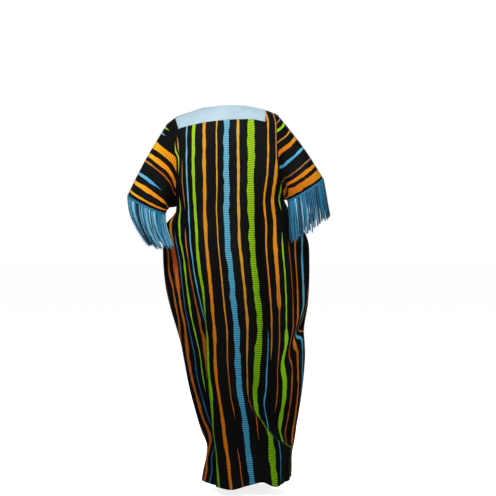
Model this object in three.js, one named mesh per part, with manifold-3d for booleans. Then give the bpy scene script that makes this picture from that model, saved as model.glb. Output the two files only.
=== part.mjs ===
// A full-length kaftan as it hangs on its wearer: a front and a back panel seamed at the shoulders and
// sides, two short wide sleeves, a square neck band laid over the panels, and a fringe on each cuff.
// Millimetres. +Z is up, -Y is the front and +X is the wearer's left. The origin lies between the
// shoulders, at the level of the cloth beside the neck, where the wearer carries the garment.
import * as THREE from "three";
import Module from "manifold-3d";

const wasm = await Module();
wasm.setup();

// ---- Driving dimensions ----
const CLOTH = 2; // wall of the panels, sleeves and fringe headings
const BAND_CLOTH = 1.6; // wall of the neck band
const SEAM = 0.3; // clear distance between two pieces at a seam
const BAND_LIFT = 0.5; // clear distance between the neck band and the panels under it
const HALF_COLUMNS = 18; // grid columns from the middle of a panel to its edge
const CHEST_STEPS = 7; // grid rows from underarm to the band's lower edge
const BAND_STEPS = 4; // grid rows across the neck band
const UNDERARM = { left: 372, right: 346 }; // drop of each underarm point
const SHOULDER_POWER = 3; // superellipse power of the upper body seen from the side
const ARMHOLE_REACH = 70; // how far an armhole reaches forward and back of the shoulder line
const NECK_COLUMN = 6; // grid column where the neckline meets the shoulder seam
const NECK_SHARE = 0.37; // where that column lies, from the middle of a panel (0) to its armhole (1)
const BAND_COLUMN = 15; // grid column at the end of the neck band
const BAND_SHARE = { left: 0.855, right: 0.77 }; // where that column lies on each side
const NECK_DIP = { back: 20, front: 55 }; // degrees of shoulder curve that each neckline cuts away
const NECK_SQUARE = 2.6; // superellipse power of the neckline's side-to-side shape

// Skirt sections, from the underarm down. drop: below the origin. grain: x of the panels' middle line.
// left, right: how far the sides lie from x = 0. back, front: depth. round: 1 for a rounded side, less
// for a side that ends in a flat edge.
const SKIRT = [
  { drop: 359, grain: -9, left: 183, right: 232, back: 118, front: 122, round: 1.0 },
  { drop: 385, grain: -9, left: 188, right: 245, back: 118, front: 122, round: 0.92 },
  { drop: 410, grain: -10, left: 207, right: 265, back: 119, front: 122, round: 0.78 },
  { drop: 434, grain: -11, left: 225, right: 286, back: 121, front: 122, round: 0.63 },
  { drop: 462, grain: -12, left: 232, right: 306, back: 125, front: 123, round: 0.52 },
  { drop: 510, grain: -14, left: 235, right: 326, back: 133, front: 126, round: 0.45 },
  { drop: 585, grain: -22, left: 234, right: 330, back: 145, front: 132, round: 0.42 },
  { drop: 673, grain: -32, left: 226, right: 329, back: 152, front: 139, round: 0.4 },
  { drop: 749, grain: -39, left: 210, right: 324, back: 152, front: 144, round: 0.4 },
  { drop: 844, grain: -48, left: 182, right: 309, back: 148, front: 146, round: 0.45 },
  { drop: 900, grain: -50, left: 166, right: 312, back: 146, front: 146, round: 0.48 },
  { drop: 958, grain: -51, left: 155, right: 313, back: 144, front: 146, round: 0.5 },
  { drop: 1072, grain: -62, left: 133, right: 303, back: 138, front: 146, round: 0.55 },
  { drop: 1160, grain: -76, left: 110, right: 290, back: 132, front: 146, round: 0.65 },
  { drop: 1232, grain: -84, left: 88, right: 277, back: 128, front: 148, round: 0.75 },
  { drop: 1284, grain: -90, left: 66, right: 266, back: 128, front: 150, round: 0.8 },
  { drop: 1330, grain: -96, left: 69, right: 257, back: 130, front: 153, round: 0.8 },
  { drop: 1375, grain: -101, left: 79, right: 256, back: 133, front: 156, round: 0.8 },
  { drop: 1414, grain: -106, left: 86, right: 255, back: 136, front: 158, round: 0.8 },
];

// Bodice sections by rise, 0 at the underarm and 1 at the shoulder line.
const BODICE = [
  { rise: 0, left: 183, right: 232, back: 118, front: 122 },
  { rise: 0.25, left: 181, right: 218, back: 118, front: 122 },
  { rise: 0.5, left: 178, right: 208, back: 120, front: 123 },
  { rise: 0.75, left: 190, right: 203, back: 122, front: 116 },
  { rise: 1, left: 219, right: 205, back: 118, front: 104 },
];

// Shoulder line and the band's lower edge across the panels. across: -1 right armhole, 1 left armhole.
const SHOULDER = [
  { across: -1, z: -17, backBand: -60, frontBand: -154 },
  { across: -0.79, z: -2, backBand: -54, frontBand: -152 },
  { across: -0.53, z: 9, backBand: -46, frontBand: -150 },
  { across: -0.37, z: 14, backBand: -46, frontBand: -150 },
  { across: 0, z: 24, backBand: -50, frontBand: -150 },
  { across: 0.37, z: 6, backBand: -58, frontBand: -152 },
  { across: 0.65, z: -14, backBand: -69, frontBand: -156 },
  { across: 0.85, z: -30, backBand: -80, frontBand: -160 },
  { across: 1, z: -54, backBand: -98, frontBand: -166 },
];

// Folds of each panel. Each runs from (from.at, from.drop) to (to.at, to.drop), where at is the distance
// along the cloth's smooth section from the grain line, positive to the wearer's left. depth is positive
// for a ridge. inner and outer are its half-widths towards and away from the grain line. It fades in
// over fadeIn below from.drop, and out over fadeOut above to.drop.
const FOLDS = {
  back: [
    { name: "left tuck", from: { at: 134, drop: 590 }, to: { at: 175, drop: 1500 },
      inner: 22, outer: 78, depth: -62, fadeIn: 560, fadeOut: 170 },
    { name: "left crest", from: { at: 100, drop: 640 }, to: { at: 112, drop: 1500 },
      inner: 46, outer: 26, depth: 12, fadeIn: 420, fadeOut: 60 },
    { name: "drag line", from: { at: -6, drop: 950 }, to: { at: -232, drop: 1330 },
      inner: 46, outer: 48, depth: -25, fadeIn: 220, fadeOut: 110 },
    { name: "drag crest", from: { at: 40, drop: 1010 }, to: { at: -172, drop: 1420 },
      inner: 44, outer: 48, depth: 10, fadeIn: 200, fadeOut: 150 },
    { name: "blade hollow", from: { at: 62, drop: 120 }, to: { at: 70, drop: 900 },
      inner: 36, outer: 36, depth: -8, fadeIn: 200, fadeOut: 380 },
    { name: "seat ridge", from: { at: -62, drop: 240 }, to: { at: -74, drop: 1010 },
      inner: 44, outer: 44, depth: 11, fadeIn: 320, fadeOut: 240 },
    { name: "right hollow", from: { at: -150, drop: 250 }, to: { at: -160, drop: 1180 },
      inner: 36, outer: 44, depth: -17, fadeIn: 260, fadeOut: 260 },
    { name: "right flute", from: { at: -222, drop: 420 }, to: { at: -232, drop: 1240 },
      inner: 34, outer: 40, depth: 13, fadeIn: 160, fadeOut: 240 },
    { name: "right kink", from: { at: -214, drop: 900 }, to: { at: -340, drop: 800 },
      inner: 26, outer: 26, depth: -13, fadeIn: 60, fadeOut: 40 },
    { name: "left flute", from: { at: 205, drop: 470 }, to: { at: 214, drop: 900 },
      inner: 34, outer: 34, depth: -14, fadeIn: 130, fadeOut: 200 },
    { name: "hem hollow", from: { at: 34, drop: 1090 }, to: { at: 34, drop: 1560 },
      inner: 38, outer: 38, depth: -12, fadeIn: 260, fadeOut: 60 },
    { name: "hem flute", from: { at: -98, drop: 1290 }, to: { at: -106, drop: 1560 },
      inner: 32, outer: 32, depth: 15, fadeIn: 110, fadeOut: 60 },
  ],
  front: [
    { name: "middle hollow", from: { at: 8, drop: 520 }, to: { at: 22, drop: 1560 },
      inner: 44, outer: 44, depth: -24, fadeIn: 560, fadeOut: 60 },
    { name: "left bust fall", from: { at: 88, drop: 300 }, to: { at: 96, drop: 1560 },
      inner: 38, outer: 38, depth: 20, fadeIn: 620, fadeOut: 60 },
    { name: "right bust fall", from: { at: -82, drop: 310 }, to: { at: -70, drop: 1560 },
      inner: 40, outer: 40, depth: 22, fadeIn: 600, fadeOut: 60 },
    { name: "left hollow", from: { at: 162, drop: 400 }, to: { at: 158, drop: 1560 },
      inner: 36, outer: 40, depth: -32, fadeIn: 700, fadeOut: 60 },
    { name: "right hollow", from: { at: -156, drop: 420 }, to: { at: -140, drop: 1560 },
      inner: 38, outer: 40, depth: -30, fadeIn: 640, fadeOut: 60 },
    { name: "right flute", from: { at: -232, drop: 440 }, to: { at: -206, drop: 1560 },
      inner: 36, outer: 36, depth: 20, fadeIn: 360, fadeOut: 60 },
    { name: "left flute", from: { at: 228, drop: 450 }, to: { at: 206, drop: 1200 },
      inner: 34, outer: 34, depth: 16, fadeIn: 260, fadeOut: 260 },
    { name: "right side hollow", from: { at: -300, drop: 520 }, to: { at: -262, drop: 1300 },
      inner: 32, outer: 32, depth: -16, fadeIn: 200, fadeOut: 300 },
    { name: "hip drag", from: { at: 210, drop: 470 }, to: { at: 30, drop: 800 },
      inner: 40, outer: 40, depth: 12, fadeIn: 90, fadeOut: 160 },
  ],
};

// The hem's dip below its own level, by section angle from the middle back through the wearer's left.
const HEM_DIP = [
  { turn: -180, dip: 4 },
  { turn: -120, dip: -2 },
  { turn: -90, dip: 6 },
  { turn: -46, dip: 10 },
  { turn: -32, dip: 12 },
  { turn: -17, dip: -6 },
  { turn: -2, dip: 0 },
  { turn: 20, dip: 21 },
  { turn: 36, dip: 18 },
  { turn: 62, dip: 22 },
  { turn: 90, dip: 10 },
  { turn: 130, dip: -6 },
  { turn: 180, dip: 4 },
];
const HEM_LIFT = 260; // the hem's dip fades out this far above it

// Each sleeve ends in an oval cuff. low, high: x and z of the cuff's inner and outer ends. y: how far
// behind the shoulder line the cuff sits. reach: its half-depth. sag: how far its back hangs below its
// ends. fall: how steeply the cloth drops off the shoulder. fringe: where the strands at the cuff's outer
// and inner ends lead from their roots, and how early they swing sideways (bend). folds: ridges along the
// sleeve, at turn degrees from the shoulder over the back, between two shares of its length.
const SLEEVES = {
  left: {
    low: { x: 215, z: -396 }, high: { x: 359, z: -327 }, y: 84, reach: 56, sag: 13, fall: 1.6,
    fringe: { outer: { x: -64, y: 2, z: -176 }, inner: { x: -27, y: 16, z: -124 }, bend: 0.45 },
    folds: [
      { turn: 36, width: 26, depth: 5, from: 0.15, to: 1 },
      { turn: 84, width: 24, depth: -8, from: 0.05, to: 0.95 },
      { turn: 128, width: 24, depth: 8, from: 0.0, to: 1.1 },
      { turn: 158, width: 18, depth: -7, from: 0.0, to: 0.9 },
      { turn: 214, width: 24, depth: 6, from: 0.0, to: 1 },
      { turn: 262, width: 28, depth: -8, from: 0.05, to: 1 },
      { turn: 318, width: 26, depth: 5, from: 0.2, to: 1 },
    ],
  },
  right: {
    low: { x: -238, z: -350 }, high: { x: -375, z: -266 }, y: 86, reach: 54, sag: 11, fall: 1.15,
    fringe: { outer: { x: -20, y: 4, z: -126 }, inner: { x: -11, y: 24, z: -138 }, bend: 1.3 },
    folds: [
      { turn: 30, width: 26, depth: 5, from: 0.2, to: 1 },
      { turn: 74, width: 26, depth: -7, from: 0.05, to: 0.95 },
      { turn: 120, width: 24, depth: 7, from: 0.0, to: 1 },
      { turn: 154, width: 18, depth: -7, from: 0.0, to: 0.9 },
      { turn: 210, width: 24, depth: 6, from: 0.0, to: 1 },
      { turn: 258, width: 28, depth: -8, from: 0.05, to: 1 },
      { turn: 312, width: 26, depth: 5, from: 0.2, to: 1 },
    ],
  },
};
const SLEEVE_STEPS = 6; // grid rows from armhole to cuff
const HEADING = 8; // width of the woven heading that carries the fringe
const HEADING_CLOTH = 3; // wall of that heading
const STRANDS = 64; // strands on each cuff
const STRAND_RADIUS = 1.45; // of the round that the three-sided strand fits in
const STRAND_ROOT = 2; // how far a strand reaches up into its heading

const COLOURS = { cloth: 0x141518, band: 0xb9dcec, fringe: 0x3f86bb };

// ---- Small helpers ----
const { clamp, degToRad, lerp, smoothstep } = THREE.MathUtils;
const vector = (x, y, z) => new THREE.Vector3(x, y, z);
const range = (n) => Array.from({ length: n }, (_, i) => i);

// One column of a table at a place along its key, on a cubic curve through the rows.
function along(rows, key, column, place) {
  const last = rows.length - 1;
  const at = clamp(place, rows[0][key], rows[last][key]);
  const i = clamp(rows.findIndex((row) => row[key] > at) - 1, 0, last - 1);
  const low = rows[at >= rows[last][key] ? last - 1 : i];
  const high = rows[rows.indexOf(low) + 1];
  const slope = (n) => {
    const before = rows[Math.max(n - 1, 0)];
    const after = rows[Math.min(n + 1, last)];
    return (after[column] - before[column]) / (after[key] - before[key]);
  };
  const span = high[key] - low[key];
  const t = (at - low[key]) / span;
  const n = rows.indexOf(low);
  return (
    low[column] * (2 * t ** 3 - 3 * t ** 2 + 1) +
    slope(n) * span * (t ** 3 - 2 * t ** 2 + t) +
    high[column] * (3 * t ** 2 - 2 * t ** 3) +
    slope(n + 1) * span * (t ** 3 - t ** 2)
  );
}

// Points of a polyline at the given shares of its length.
function atShares(points, shares) {
  const runs = [0];
  for (let i = 1; i < points.length; i++) {
    runs.push(runs[i - 1] + points[i].distanceTo(points[i - 1]));
  }
  return shares.map((share) => {
    const goal = share * runs[runs.length - 1];
    const i = clamp(runs.findIndex((run) => run >= goal), 1, runs.length - 1);
    return points[i - 1].clone().lerp(points[i], (goal - runs[i - 1]) / (runs[i] - runs[i - 1]));
  });
}

// How far the folds of a panel push its cloth outwards, at a distance from the grain line and a drop.
function foldPush(panel, at, drop) {
  let push = 0;
  for (const fold of FOLDS[panel]) {
    const down = fold.to.drop > fold.from.drop ? 1 : -1;
    const run = (drop - fold.from.drop) * down;
    const length = Math.abs(fold.to.drop - fold.from.drop);
    const middle = lerp(fold.from.at, fold.to.at, clamp(run / length, 0, 1));
    const outwards = Math.abs(at) > Math.abs(middle) && at * middle > 0;
    const side = (at - middle) / (outwards ? fold.outer : fold.inner);
    const fade = smoothstep(run, 0, fold.fadeIn) * (1 - smoothstep(run, length - fold.fadeOut, length));
    push += fold.depth * Math.exp(-side * side) * fade;
  }
  return push;
}

// ---- Body: one closed section at each level below the underarms ----
// turn runs from -90 (wearer's right side) through 0 (grain line) to 90 (wearer's left side). sign is 1
// on the back and -1 on the front.
function skirtPoint(panel, drop, turn) {
  const row = (column) => along(SKIRT, "drop", column, drop);
  const reach = turn >= 0 ? row("left") - row("grain") : row("right") + row("grain");
  const angle = degToRad(turn);
  const round = row("round");
  const depth = row(panel) * (round * Math.cos(angle) + (1 - round) * Math.cos(angle) ** 3);
  const sign = panel === "back" ? 1 : -1;
  const fullTurn = panel === "back" ? turn : Math.sign(turn || 1) * (180 - Math.abs(turn));
  const tilt = ((UNDERARM.left - UNDERARM.right) / 2) * Math.sin(angle);
  const below = smoothstep(drop, SKIRT[0].drop, SKIRT[5].drop);
  const nearHem = smoothstep(drop, SKIRT[SKIRT.length - 1].drop - HEM_LIFT, SKIRT[SKIRT.length - 1].drop);
  const dip = along(HEM_DIP, "turn", "dip", fullTurn) * nearHem;
  return vector(row("grain") + reach * Math.sin(angle), sign * depth, -drop - tilt * (1 - below) - dip);
}

// A level of one panel below the underarm, from its right side to its left, as evenly spaced points.
function skirtRow(panel, drop) {
  const half = (sign) => {
    const turns = range(121).map((i) => (sign * 90 * i) / 120);
    const smooth = turns.map((turn) => skirtPoint(panel, drop, turn));
    let run = 0;
    const folded = smooth.map((point, i) => {
      if (i) run += point.distanceTo(smooth[i - 1]);
      const before = smooth[Math.max(i - 1, 0)];
      const after = smooth[Math.min(i + 1, smooth.length - 1)];
      const outwards = vector(after.y - before.y, before.x - after.x, 0).normalize();
      if (outwards.y * (panel === "back" ? 1 : -1) < 0) outwards.negate();
      const fromSide = 1 - smoothstep(Math.abs(turns[i]), 68, 90);
      return point.clone().addScaledVector(outwards, foldPush(panel, sign * run, drop) * fromSide);
    });
    return atShares(folded, range(HALF_COLUMNS + 1).map((i) => i / HALF_COLUMNS));
  };
  return [...half(-1).reverse(), ...half(1).slice(1)];
}

// ---- Body: the bodice above the underarms ----
// Where each column lies on the shoulders, from -1 at the right armhole to 1 at the left one.
function columnAcross(column) {
  const side = Math.sign(column) || 1;
  const c = Math.abs(column);
  const end = BAND_SHARE[side > 0 ? "left" : "right"];
  if (c <= NECK_COLUMN) return side * NECK_SHARE * (c / NECK_COLUMN);
  if (c <= BAND_COLUMN) return side * lerp(NECK_SHARE, end, (c - NECK_COLUMN) / (BAND_COLUMN - NECK_COLUMN));
  return side * lerp(end, 1, (c - BAND_COLUMN) / (HALF_COLUMNS - BAND_COLUMN));
}

const ACROSS = range(2 * HALF_COLUMNS + 1).map((i) => columnAcross(i - HALF_COLUMNS));
const underarmZ = (across) => -lerp(UNDERARM.right, UNDERARM.left, (across + 1) / 2);
const shoulderZ = (across) => along(SHOULDER, "across", "z", across);
const curveRise = (angle) => Math.sin(angle) ** (2 / SHOULDER_POWER);
const curveDepth = (rise) => (1 - rise ** SHOULDER_POWER) ** (1 / SHOULDER_POWER);

// A point of the bodice. rise is 0 at the underarm and 1 on the shoulder line. even is the share of the
// half-width that the same column has at the underarm, where the columns lie evenly round the side.
function bodicePoint(panel, across, even, rise) {
  const row = (column) => along(BODICE, "rise", column, rise);
  const grain = SKIRT[0].grain;
  const reach = across >= 0 ? row("left") - grain : row("right") + grain;
  const share = lerp(even, Math.abs(across), smoothstep(rise, 0, 0.35));
  const edge = ARMHOLE_REACH * 2 * Math.sqrt(Math.max(rise * (1 - rise), 0));
  const middle = row(panel) * curveDepth(clamp(rise, 0, 1));
  const open = Math.acos(Math.min(edge / Math.max(middle, 1), 0.95));
  const angle = Math.asin(clamp(share * Math.sin(open), -1, 1));
  const y = middle * Math.cos(angle);
  const fromEdge = 1 - smoothstep(share, 0.75, 1);
  const z = lerp(underarmZ(across * share / Math.max(Math.abs(across), 1e-6)), shoulderZ(across), rise);
  const push = foldPush(panel, share * reach * Math.sign(across), -z) * (1 - smoothstep(rise, 0.55, 0.85));
  return vector(
    grain + Math.sign(across) * share * reach,
    (panel === "back" ? 1 : -1) * (y + push * fromEdge),
    z,
  );
}

// The rise of a panel's neckline and shoulder edge, and of the band's lower edge, at each column.
function bandRises(panel, across) {
  const inNeck = Math.max(1 - (across / NECK_SHARE) ** 2, 0) ** (1 / NECK_SQUARE);
  const top = 90 - NECK_DIP[panel] * inNeck;
  const level = along(SHOULDER, "across", panel === "back" ? "backBand" : "frontBand", across);
  const low = (level - underarmZ(across)) / (shoulderZ(across) - underarmZ(across));
  return { low, lowAngle: Math.asin(low ** (SHOULDER_POWER / 2)), topAngle: degToRad(top) };
}

// All rows of one panel, from the hem up to the shoulder seam and neckline.
function panelRows(panel) {
  const seamShift = vector(0, (panel === "back" ? 1 : -1) * (SEAM / 2), 0);
  const rows = SKIRT.map((section) => skirtRow(panel, section.drop)).reverse();
  const underarm = rows[rows.length - 1];
  const evens = underarm.map((point, i) => {
    const end = underarm[ACROSS[i] >= 0 ? underarm.length - 1 : 0];
    return (point.x - SKIRT[0].grain) / (end.x - SKIRT[0].grain);
  });
  const bodice = (riseAt) => ACROSS.map((across, i) => bodicePoint(panel, across, evens[i], riseAt(across)));
  for (let i = 1; i <= CHEST_STEPS; i++) {
    rows.push(
      bodice((across) => {
        const whole = Math.acos(1 - 2 * bandRises(panel, across).low);
        return (1 - Math.cos((whole * i) / CHEST_STEPS)) / 2;
      }),
    );
  }
  for (let i = 1; i <= BAND_STEPS; i++) {
    rows.push(
      bodice((across) => {
        const { lowAngle, topAngle } = bandRises(panel, across);
        return curveRise(lerp(lowAngle, topAngle, i / BAND_STEPS));
      }),
    );
  }
  rows.forEach((row) => row.forEach((point) => point.add(seamShift)));
  return rows;
}

// ---- Walls ----
// The outward direction of a grid of points at each of them. flip turns it to the other side.
function gridNormals(rows, flip, closed = false) {
  return rows.map((row, r) =>
    row.map((_, c) => {
      const last = row.length - 1;
      const up = rows[Math.min(r + 1, rows.length - 1)][c].clone().sub(rows[Math.max(r - 1, 0)][c]);
      const before = closed ? row[(c + last) % (last + 1)] : row[Math.max(c - 1, 0)];
      const after = closed ? row[(c + 1) % (last + 1)] : row[Math.min(c + 1, last)];
      return after.clone().sub(before).cross(up).normalize().multiplyScalar(flip ? -1 : 1);
    }),
  );
}

// A closed wall on a grid of outer points, made by moving a copy of them inwards.
function wall(outer, normals, thickness, closed = false) {
  const inner = outer.map((row, r) =>
    row.map((point, c) => point.clone().addScaledVector(normals[r][c], -thickness)),
  );
  const height = outer.length;
  const width = outer[0].length;
  const positions = [...outer.flat(), ...inner.flat()].flatMap((point) => [point.x, point.y, point.z]);
  const index = [];
  const id = (layer, r, c) => layer * height * width + r * width + (c % width);
  const quad = (a, b, c, d) => index.push(a, b, c, a, c, d);
  const across = closed ? width : width - 1;
  for (let r = 0; r < height - 1; r++) {
    for (let c = 0; c < across; c++) {
      const corners = [[r, c], [r, c + 1], [r + 1, c + 1], [r + 1, c]];
      // The cells of an open grid are split towards its middle, so that it stays even-sided.
      if (!closed && c >= across / 2) corners.push(corners.shift());
      const [a, b, d, e] = corners;
      quad(id(0, ...a), id(0, ...b), id(0, ...d), id(0, ...e));
      quad(id(1, ...a), id(1, ...e), id(1, ...d), id(1, ...b));
    }
    if (!closed) {
      quad(id(0, r, 0), id(0, r + 1, 0), id(1, r + 1, 0), id(1, r, 0));
      quad(id(0, r, across), id(1, r, across), id(1, r + 1, across), id(0, r + 1, across));
    }
  }
  for (let c = 0; c < across; c++) {
    quad(id(0, 0, c), id(1, 0, c), id(1, 0, c + 1), id(0, 0, c + 1));
    quad(id(0, height - 1, c), id(0, height - 1, c + 1), id(1, height - 1, c + 1), id(1, height - 1, c));
  }
  const geometry = new THREE.BufferGeometry();
  geometry.setAttribute("position", new THREE.Float32BufferAttribute(positions, 3));
  geometry.setIndex(index);
  return outwards(geometry);
}

// The same geometry with its faces turned to point out of it.
function outwards(geometry) {
  const p = geometry.attributes.position;
  const index = geometry.index.array;
  const corner = (i) => vector(p.getX(index[i]), p.getY(index[i]), p.getZ(index[i]));
  let volume = 0;
  for (let i = 0; i < index.length; i += 3) volume += corner(i).dot(corner(i + 1).cross(corner(i + 2)));
  if (volume < 0) {
    for (let i = 0; i < index.length; i += 3) [index[i + 1], index[i + 2]] = [index[i + 2], index[i + 1]];
  }
  return geometry;
}

function mesh(name, geometry, colour) {
  const material = new THREE.MeshStandardMaterial({ color: colour, roughness: 0.85, metalness: 0 });
  const made = new THREE.Mesh(geometry, material);
  made.name = name;
  return made;
}

// ---- Panels ----
const panels = { back: panelRows("back"), front: panelRows("front") };
const SKIRT_ROWS = SKIRT.length - 1;
const TOP_ROW = panels.back.length - 1;
const normals = { back: panelNormals("back"), front: panelNormals("front") };
const EDGE = { left: 2 * HALF_COLUMNS, right: 0 };

// A panel's outward directions. Under the neck band they come from the bodice's own curve, as the grid
// there slants along the neckline.
function panelNormals(panel) {
  const directions = gridNormals(panels[panel], panel === "back");
  const step = 0.01;
  for (let i = 0; i <= BAND_STEPS; i++) {
    directions[TOP_ROW - i].forEach((direction, c) => {
      const across = ACROSS[c];
      const { lowAngle, topAngle } = bandRises(panel, across);
      const angle = lerp(topAngle, lowAngle, i / BAND_STEPS);
      const at = (side, up) =>
        bodicePoint(panel, across + side, 0, curveRise(Math.min(angle + up, Math.PI / 2)));
      const sideways = at(step, 0).sub(at(-step, 0));
      const upwards = at(0, step).sub(at(0, -step));
      direction.copy(sideways.cross(upwards).normalize()).multiplyScalar(panel === "back" ? -1 : 1);
    });
  }
  return directions;
}

// Armhole of one side: points from the shoulder down the back to the underarm and up the front, with
// the points halfway between them.
function armhole(side) {
  const edge = (panel) => range(CHEST_STEPS + BAND_STEPS + 1).map((i) => panels[panel][TOP_ROW - i][EDGE[side]]);
  const back = edge("back");
  const front = edge("front").reverse();
  back[0].y = SEAM / 2;
  const shoulder = back[0].clone().setY(0);
  const underarm = back[back.length - 1].clone().setY(0);
  const ring = [shoulder, ...back.slice(1, -1), underarm, ...front.slice(1, -1)];
  return ring.flatMap((point, i) => [
    point.clone(),
    point.clone().lerp(ring[(i + 1) % ring.length], 0.5),
  ]);
}

// ---- Sleeves ----
// Direction along the arm, square to the cuff.
function armDirection({ low, high }) {
  const across = vector(high.x - low.x, 0, high.z - low.z).normalize();
  const down = vector(across.z, 0, -across.x);
  return down.z > 0 ? down.negate() : down;
}

function cuffPoint({ low, high, y, reach, sag }, turn) {
  const middle = vector((low.x + high.x) / 2, y, (low.z + high.z) / 2);
  const half = vector((high.x - low.x) / 2, 0, (high.z - low.z) / 2);
  const angle = degToRad(turn);
  return middle.addScaledVector(half, Math.cos(angle)).add(vector(0, reach * Math.sin(angle), -sag * Math.sin(angle)));
}

// Rows of a sleeve from armhole to cuff. Each thread along the arm leaves the armhole in the direction in
// which the bodice arrives, and meets the cuff along the arm.
function sleeveRows(side) {
  const sleeve = SLEEVES[side];
  const ring = armhole(side);
  const arm = armDirection(sleeve);
  const outX = side === "left" ? 1 : -1;
  const turns = ring.map((_, i) => (360 * i) / ring.length);
  const rows = range(SLEEVE_STEPS + 1).map((r) => {
    const t = r / SLEEVE_STEPS;
    return ring.map((start, i) => {
      const end = cuffPoint(sleeve, turns[i]);
      const span = end.distanceTo(start);
      const high = smoothstep(Math.abs(turns[i] - 180), 0, 100);
      const leave = vector(outX, 0.25, -lerp(0.35, sleeve.fall, high)).normalize().multiplyScalar(span * 0.8);
      const meet = arm.clone().multiplyScalar(span * 0.9);
      return start.clone().multiplyScalar(2 * t ** 3 - 3 * t ** 2 + 1)
        .addScaledVector(leave, t ** 3 - 2 * t ** 2 + t)
        .addScaledVector(end, 3 * t ** 2 - 2 * t ** 3)
        .addScaledVector(meet, t ** 3 - t ** 2);
    });
  });
  const smooth = gridNormals(rows, side === "left", true);
  return rows.map((row, r) =>
    row.map((point, i) => {
      const t = r / SLEEVE_STEPS;
      let push = 0;
      for (const fold of sleeve.folds) {
        const away = (turns[i] - fold.turn) / fold.width;
        const fade = smoothstep(t, fold.from, fold.from + 0.4) * (1 - smoothstep(t, fold.to - 0.35, fold.to));
        push += fold.depth * Math.exp(-away * away) * fade;
      }
      return point.addScaledVector(smooth[r][i], push);
    }),
  );
}

const sleeves = { left: sleeveRows("left"), right: sleeveRows("right") };
const sleeveNormals = {
  left: gridNormals(sleeves.left, true, true),
  right: gridNormals(sleeves.right, false, true),
};

// At the cuff the wall ends square to the arm, so that the fringe can carry on from it.
function squareCuff(side) {
  const ring = sleeves[side][SLEEVE_STEPS];
  const arm = armDirection(SLEEVES[side]);
  ring.forEach((_, i) => {
    const before = ring[(i + ring.length - 1) % ring.length];
    const square = ring[(i + 1) % ring.length].clone().sub(before).cross(arm).normalize();
    sleeveNormals[side][SLEEVE_STEPS][i].copy(square).multiplyScalar(side === "left" ? -1 : 1);
  });
}

// Both pieces of an armhole seam get the same wall direction, so that their cut edges face each other.
// The sleeve's first row then moves clear of the panels, square to the seam.
function shareArmhole(side) {
  const ring = sleeves[side][0];
  const ringNormals = sleeveNormals[side][0];
  const steps = CHEST_STEPS + BAND_STEPS;
  const shared = ringNormals.map((normal) => normal.clone());
  const edgeNormal = (i, panel) => normals[panel][TOP_ROW - Math.min(i, 2 * steps - i)][EDGE[side]];
  const onSeam = (i) => i === 0 || i === steps;
  range(2 * steps).forEach((i) => {
    shared[2 * i].add(edgeNormal(i, i <= steps ? "back" : "front"));
    if (onSeam(i)) shared[2 * i].add(edgeNormal(i, "front")).setY(0);
    shared[2 * i].normalize();
  });
  const sharp = shared.map((normal) => normal.clone());
  range(2 * steps).forEach((i) => {
    const [before, after] = [2 * i - 2 + ring.length, 2 * i + 2].map((n) => sharp[n % ring.length]);
    shared[2 * i].add(shared[2 * i]).add(before).add(after);
    if (onSeam(i)) shared[2 * i].setY(0);
    shared[2 * i].normalize();
    edgeNormal(i, i <= steps ? "back" : "front").copy(shared[2 * i]);
    if (onSeam(i)) edgeNormal(i, "front").copy(shared[2 * i]);
  });
  ring.forEach((_, i) => {
    if (i % 2) shared[i].copy(shared[i - 1]).add(shared[(i + 1) % ring.length]).normalize();
  });
  const fromUnderarm = (i) => Math.abs(i / steps - 1);
  const outX = side === "left" ? 1 : -1;
  const moved = ring.map((point, i) => {
    const before = ring[(i + ring.length - 1) % ring.length];
    const after = ring[(i + 1) % ring.length];
    const clear = after.clone().sub(before).cross(shared[i]).normalize();
    if (clear.x * outX < 0) clear.negate();
    return point.clone().addScaledVector(clear, SEAM * lerp(3, 1.5, smoothstep(fromUnderarm(i), 0, 0.6)));
  });
  ring.forEach((point, i) => point.copy(moved[i]));
  shared.forEach((normal, i) => ringNormals[i].copy(normal));
}

// Side and shoulder seams: the wall's direction lies in the seam's own plane.
function squareSeams() {
  for (const panel of ["back", "front"]) {
    const last = 2 * HALF_COLUMNS;
    panels[panel].forEach((_, r) => {
      if (r > SKIRT_ROWS) return;
      for (const c of [0, last]) normals[panel][r][c].setY(0).normalize();
    });
    normals[panel][TOP_ROW].forEach((normal, c) => {
      if (Math.abs(c - HALF_COLUMNS) >= NECK_COLUMN) normal.setY(0).normalize();
    });
  }
}

squareSeams();
for (const side of ["left", "right"]) {
  squareCuff(side);
  shareArmhole(side);
}

// ---- Neck band, laid on the panels ----
function bandWall(panel) {
  const firstRow = TOP_ROW - BAND_STEPS;
  const firstColumn = HALF_COLUMNS - BAND_COLUMN;
  const lastColumn = HALF_COLUMNS + BAND_COLUMN;
  const rows = range(BAND_STEPS + 1).map((i) => firstRow + i);
  const columns = range(lastColumn - firstColumn + 1).map((i) => firstColumn + i);
  const lift = BAND_LIFT + BAND_CLOTH;
  const outer = rows.map((r) =>
    columns.map((c) => panels[panel][r][c].clone().addScaledVector(normals[panel][r][c], lift)),
  );
  const directions = rows.map((r) => columns.map((c) => normals[panel][r][c]));
  return wall(outer, directions, BAND_CLOTH);
}

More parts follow.
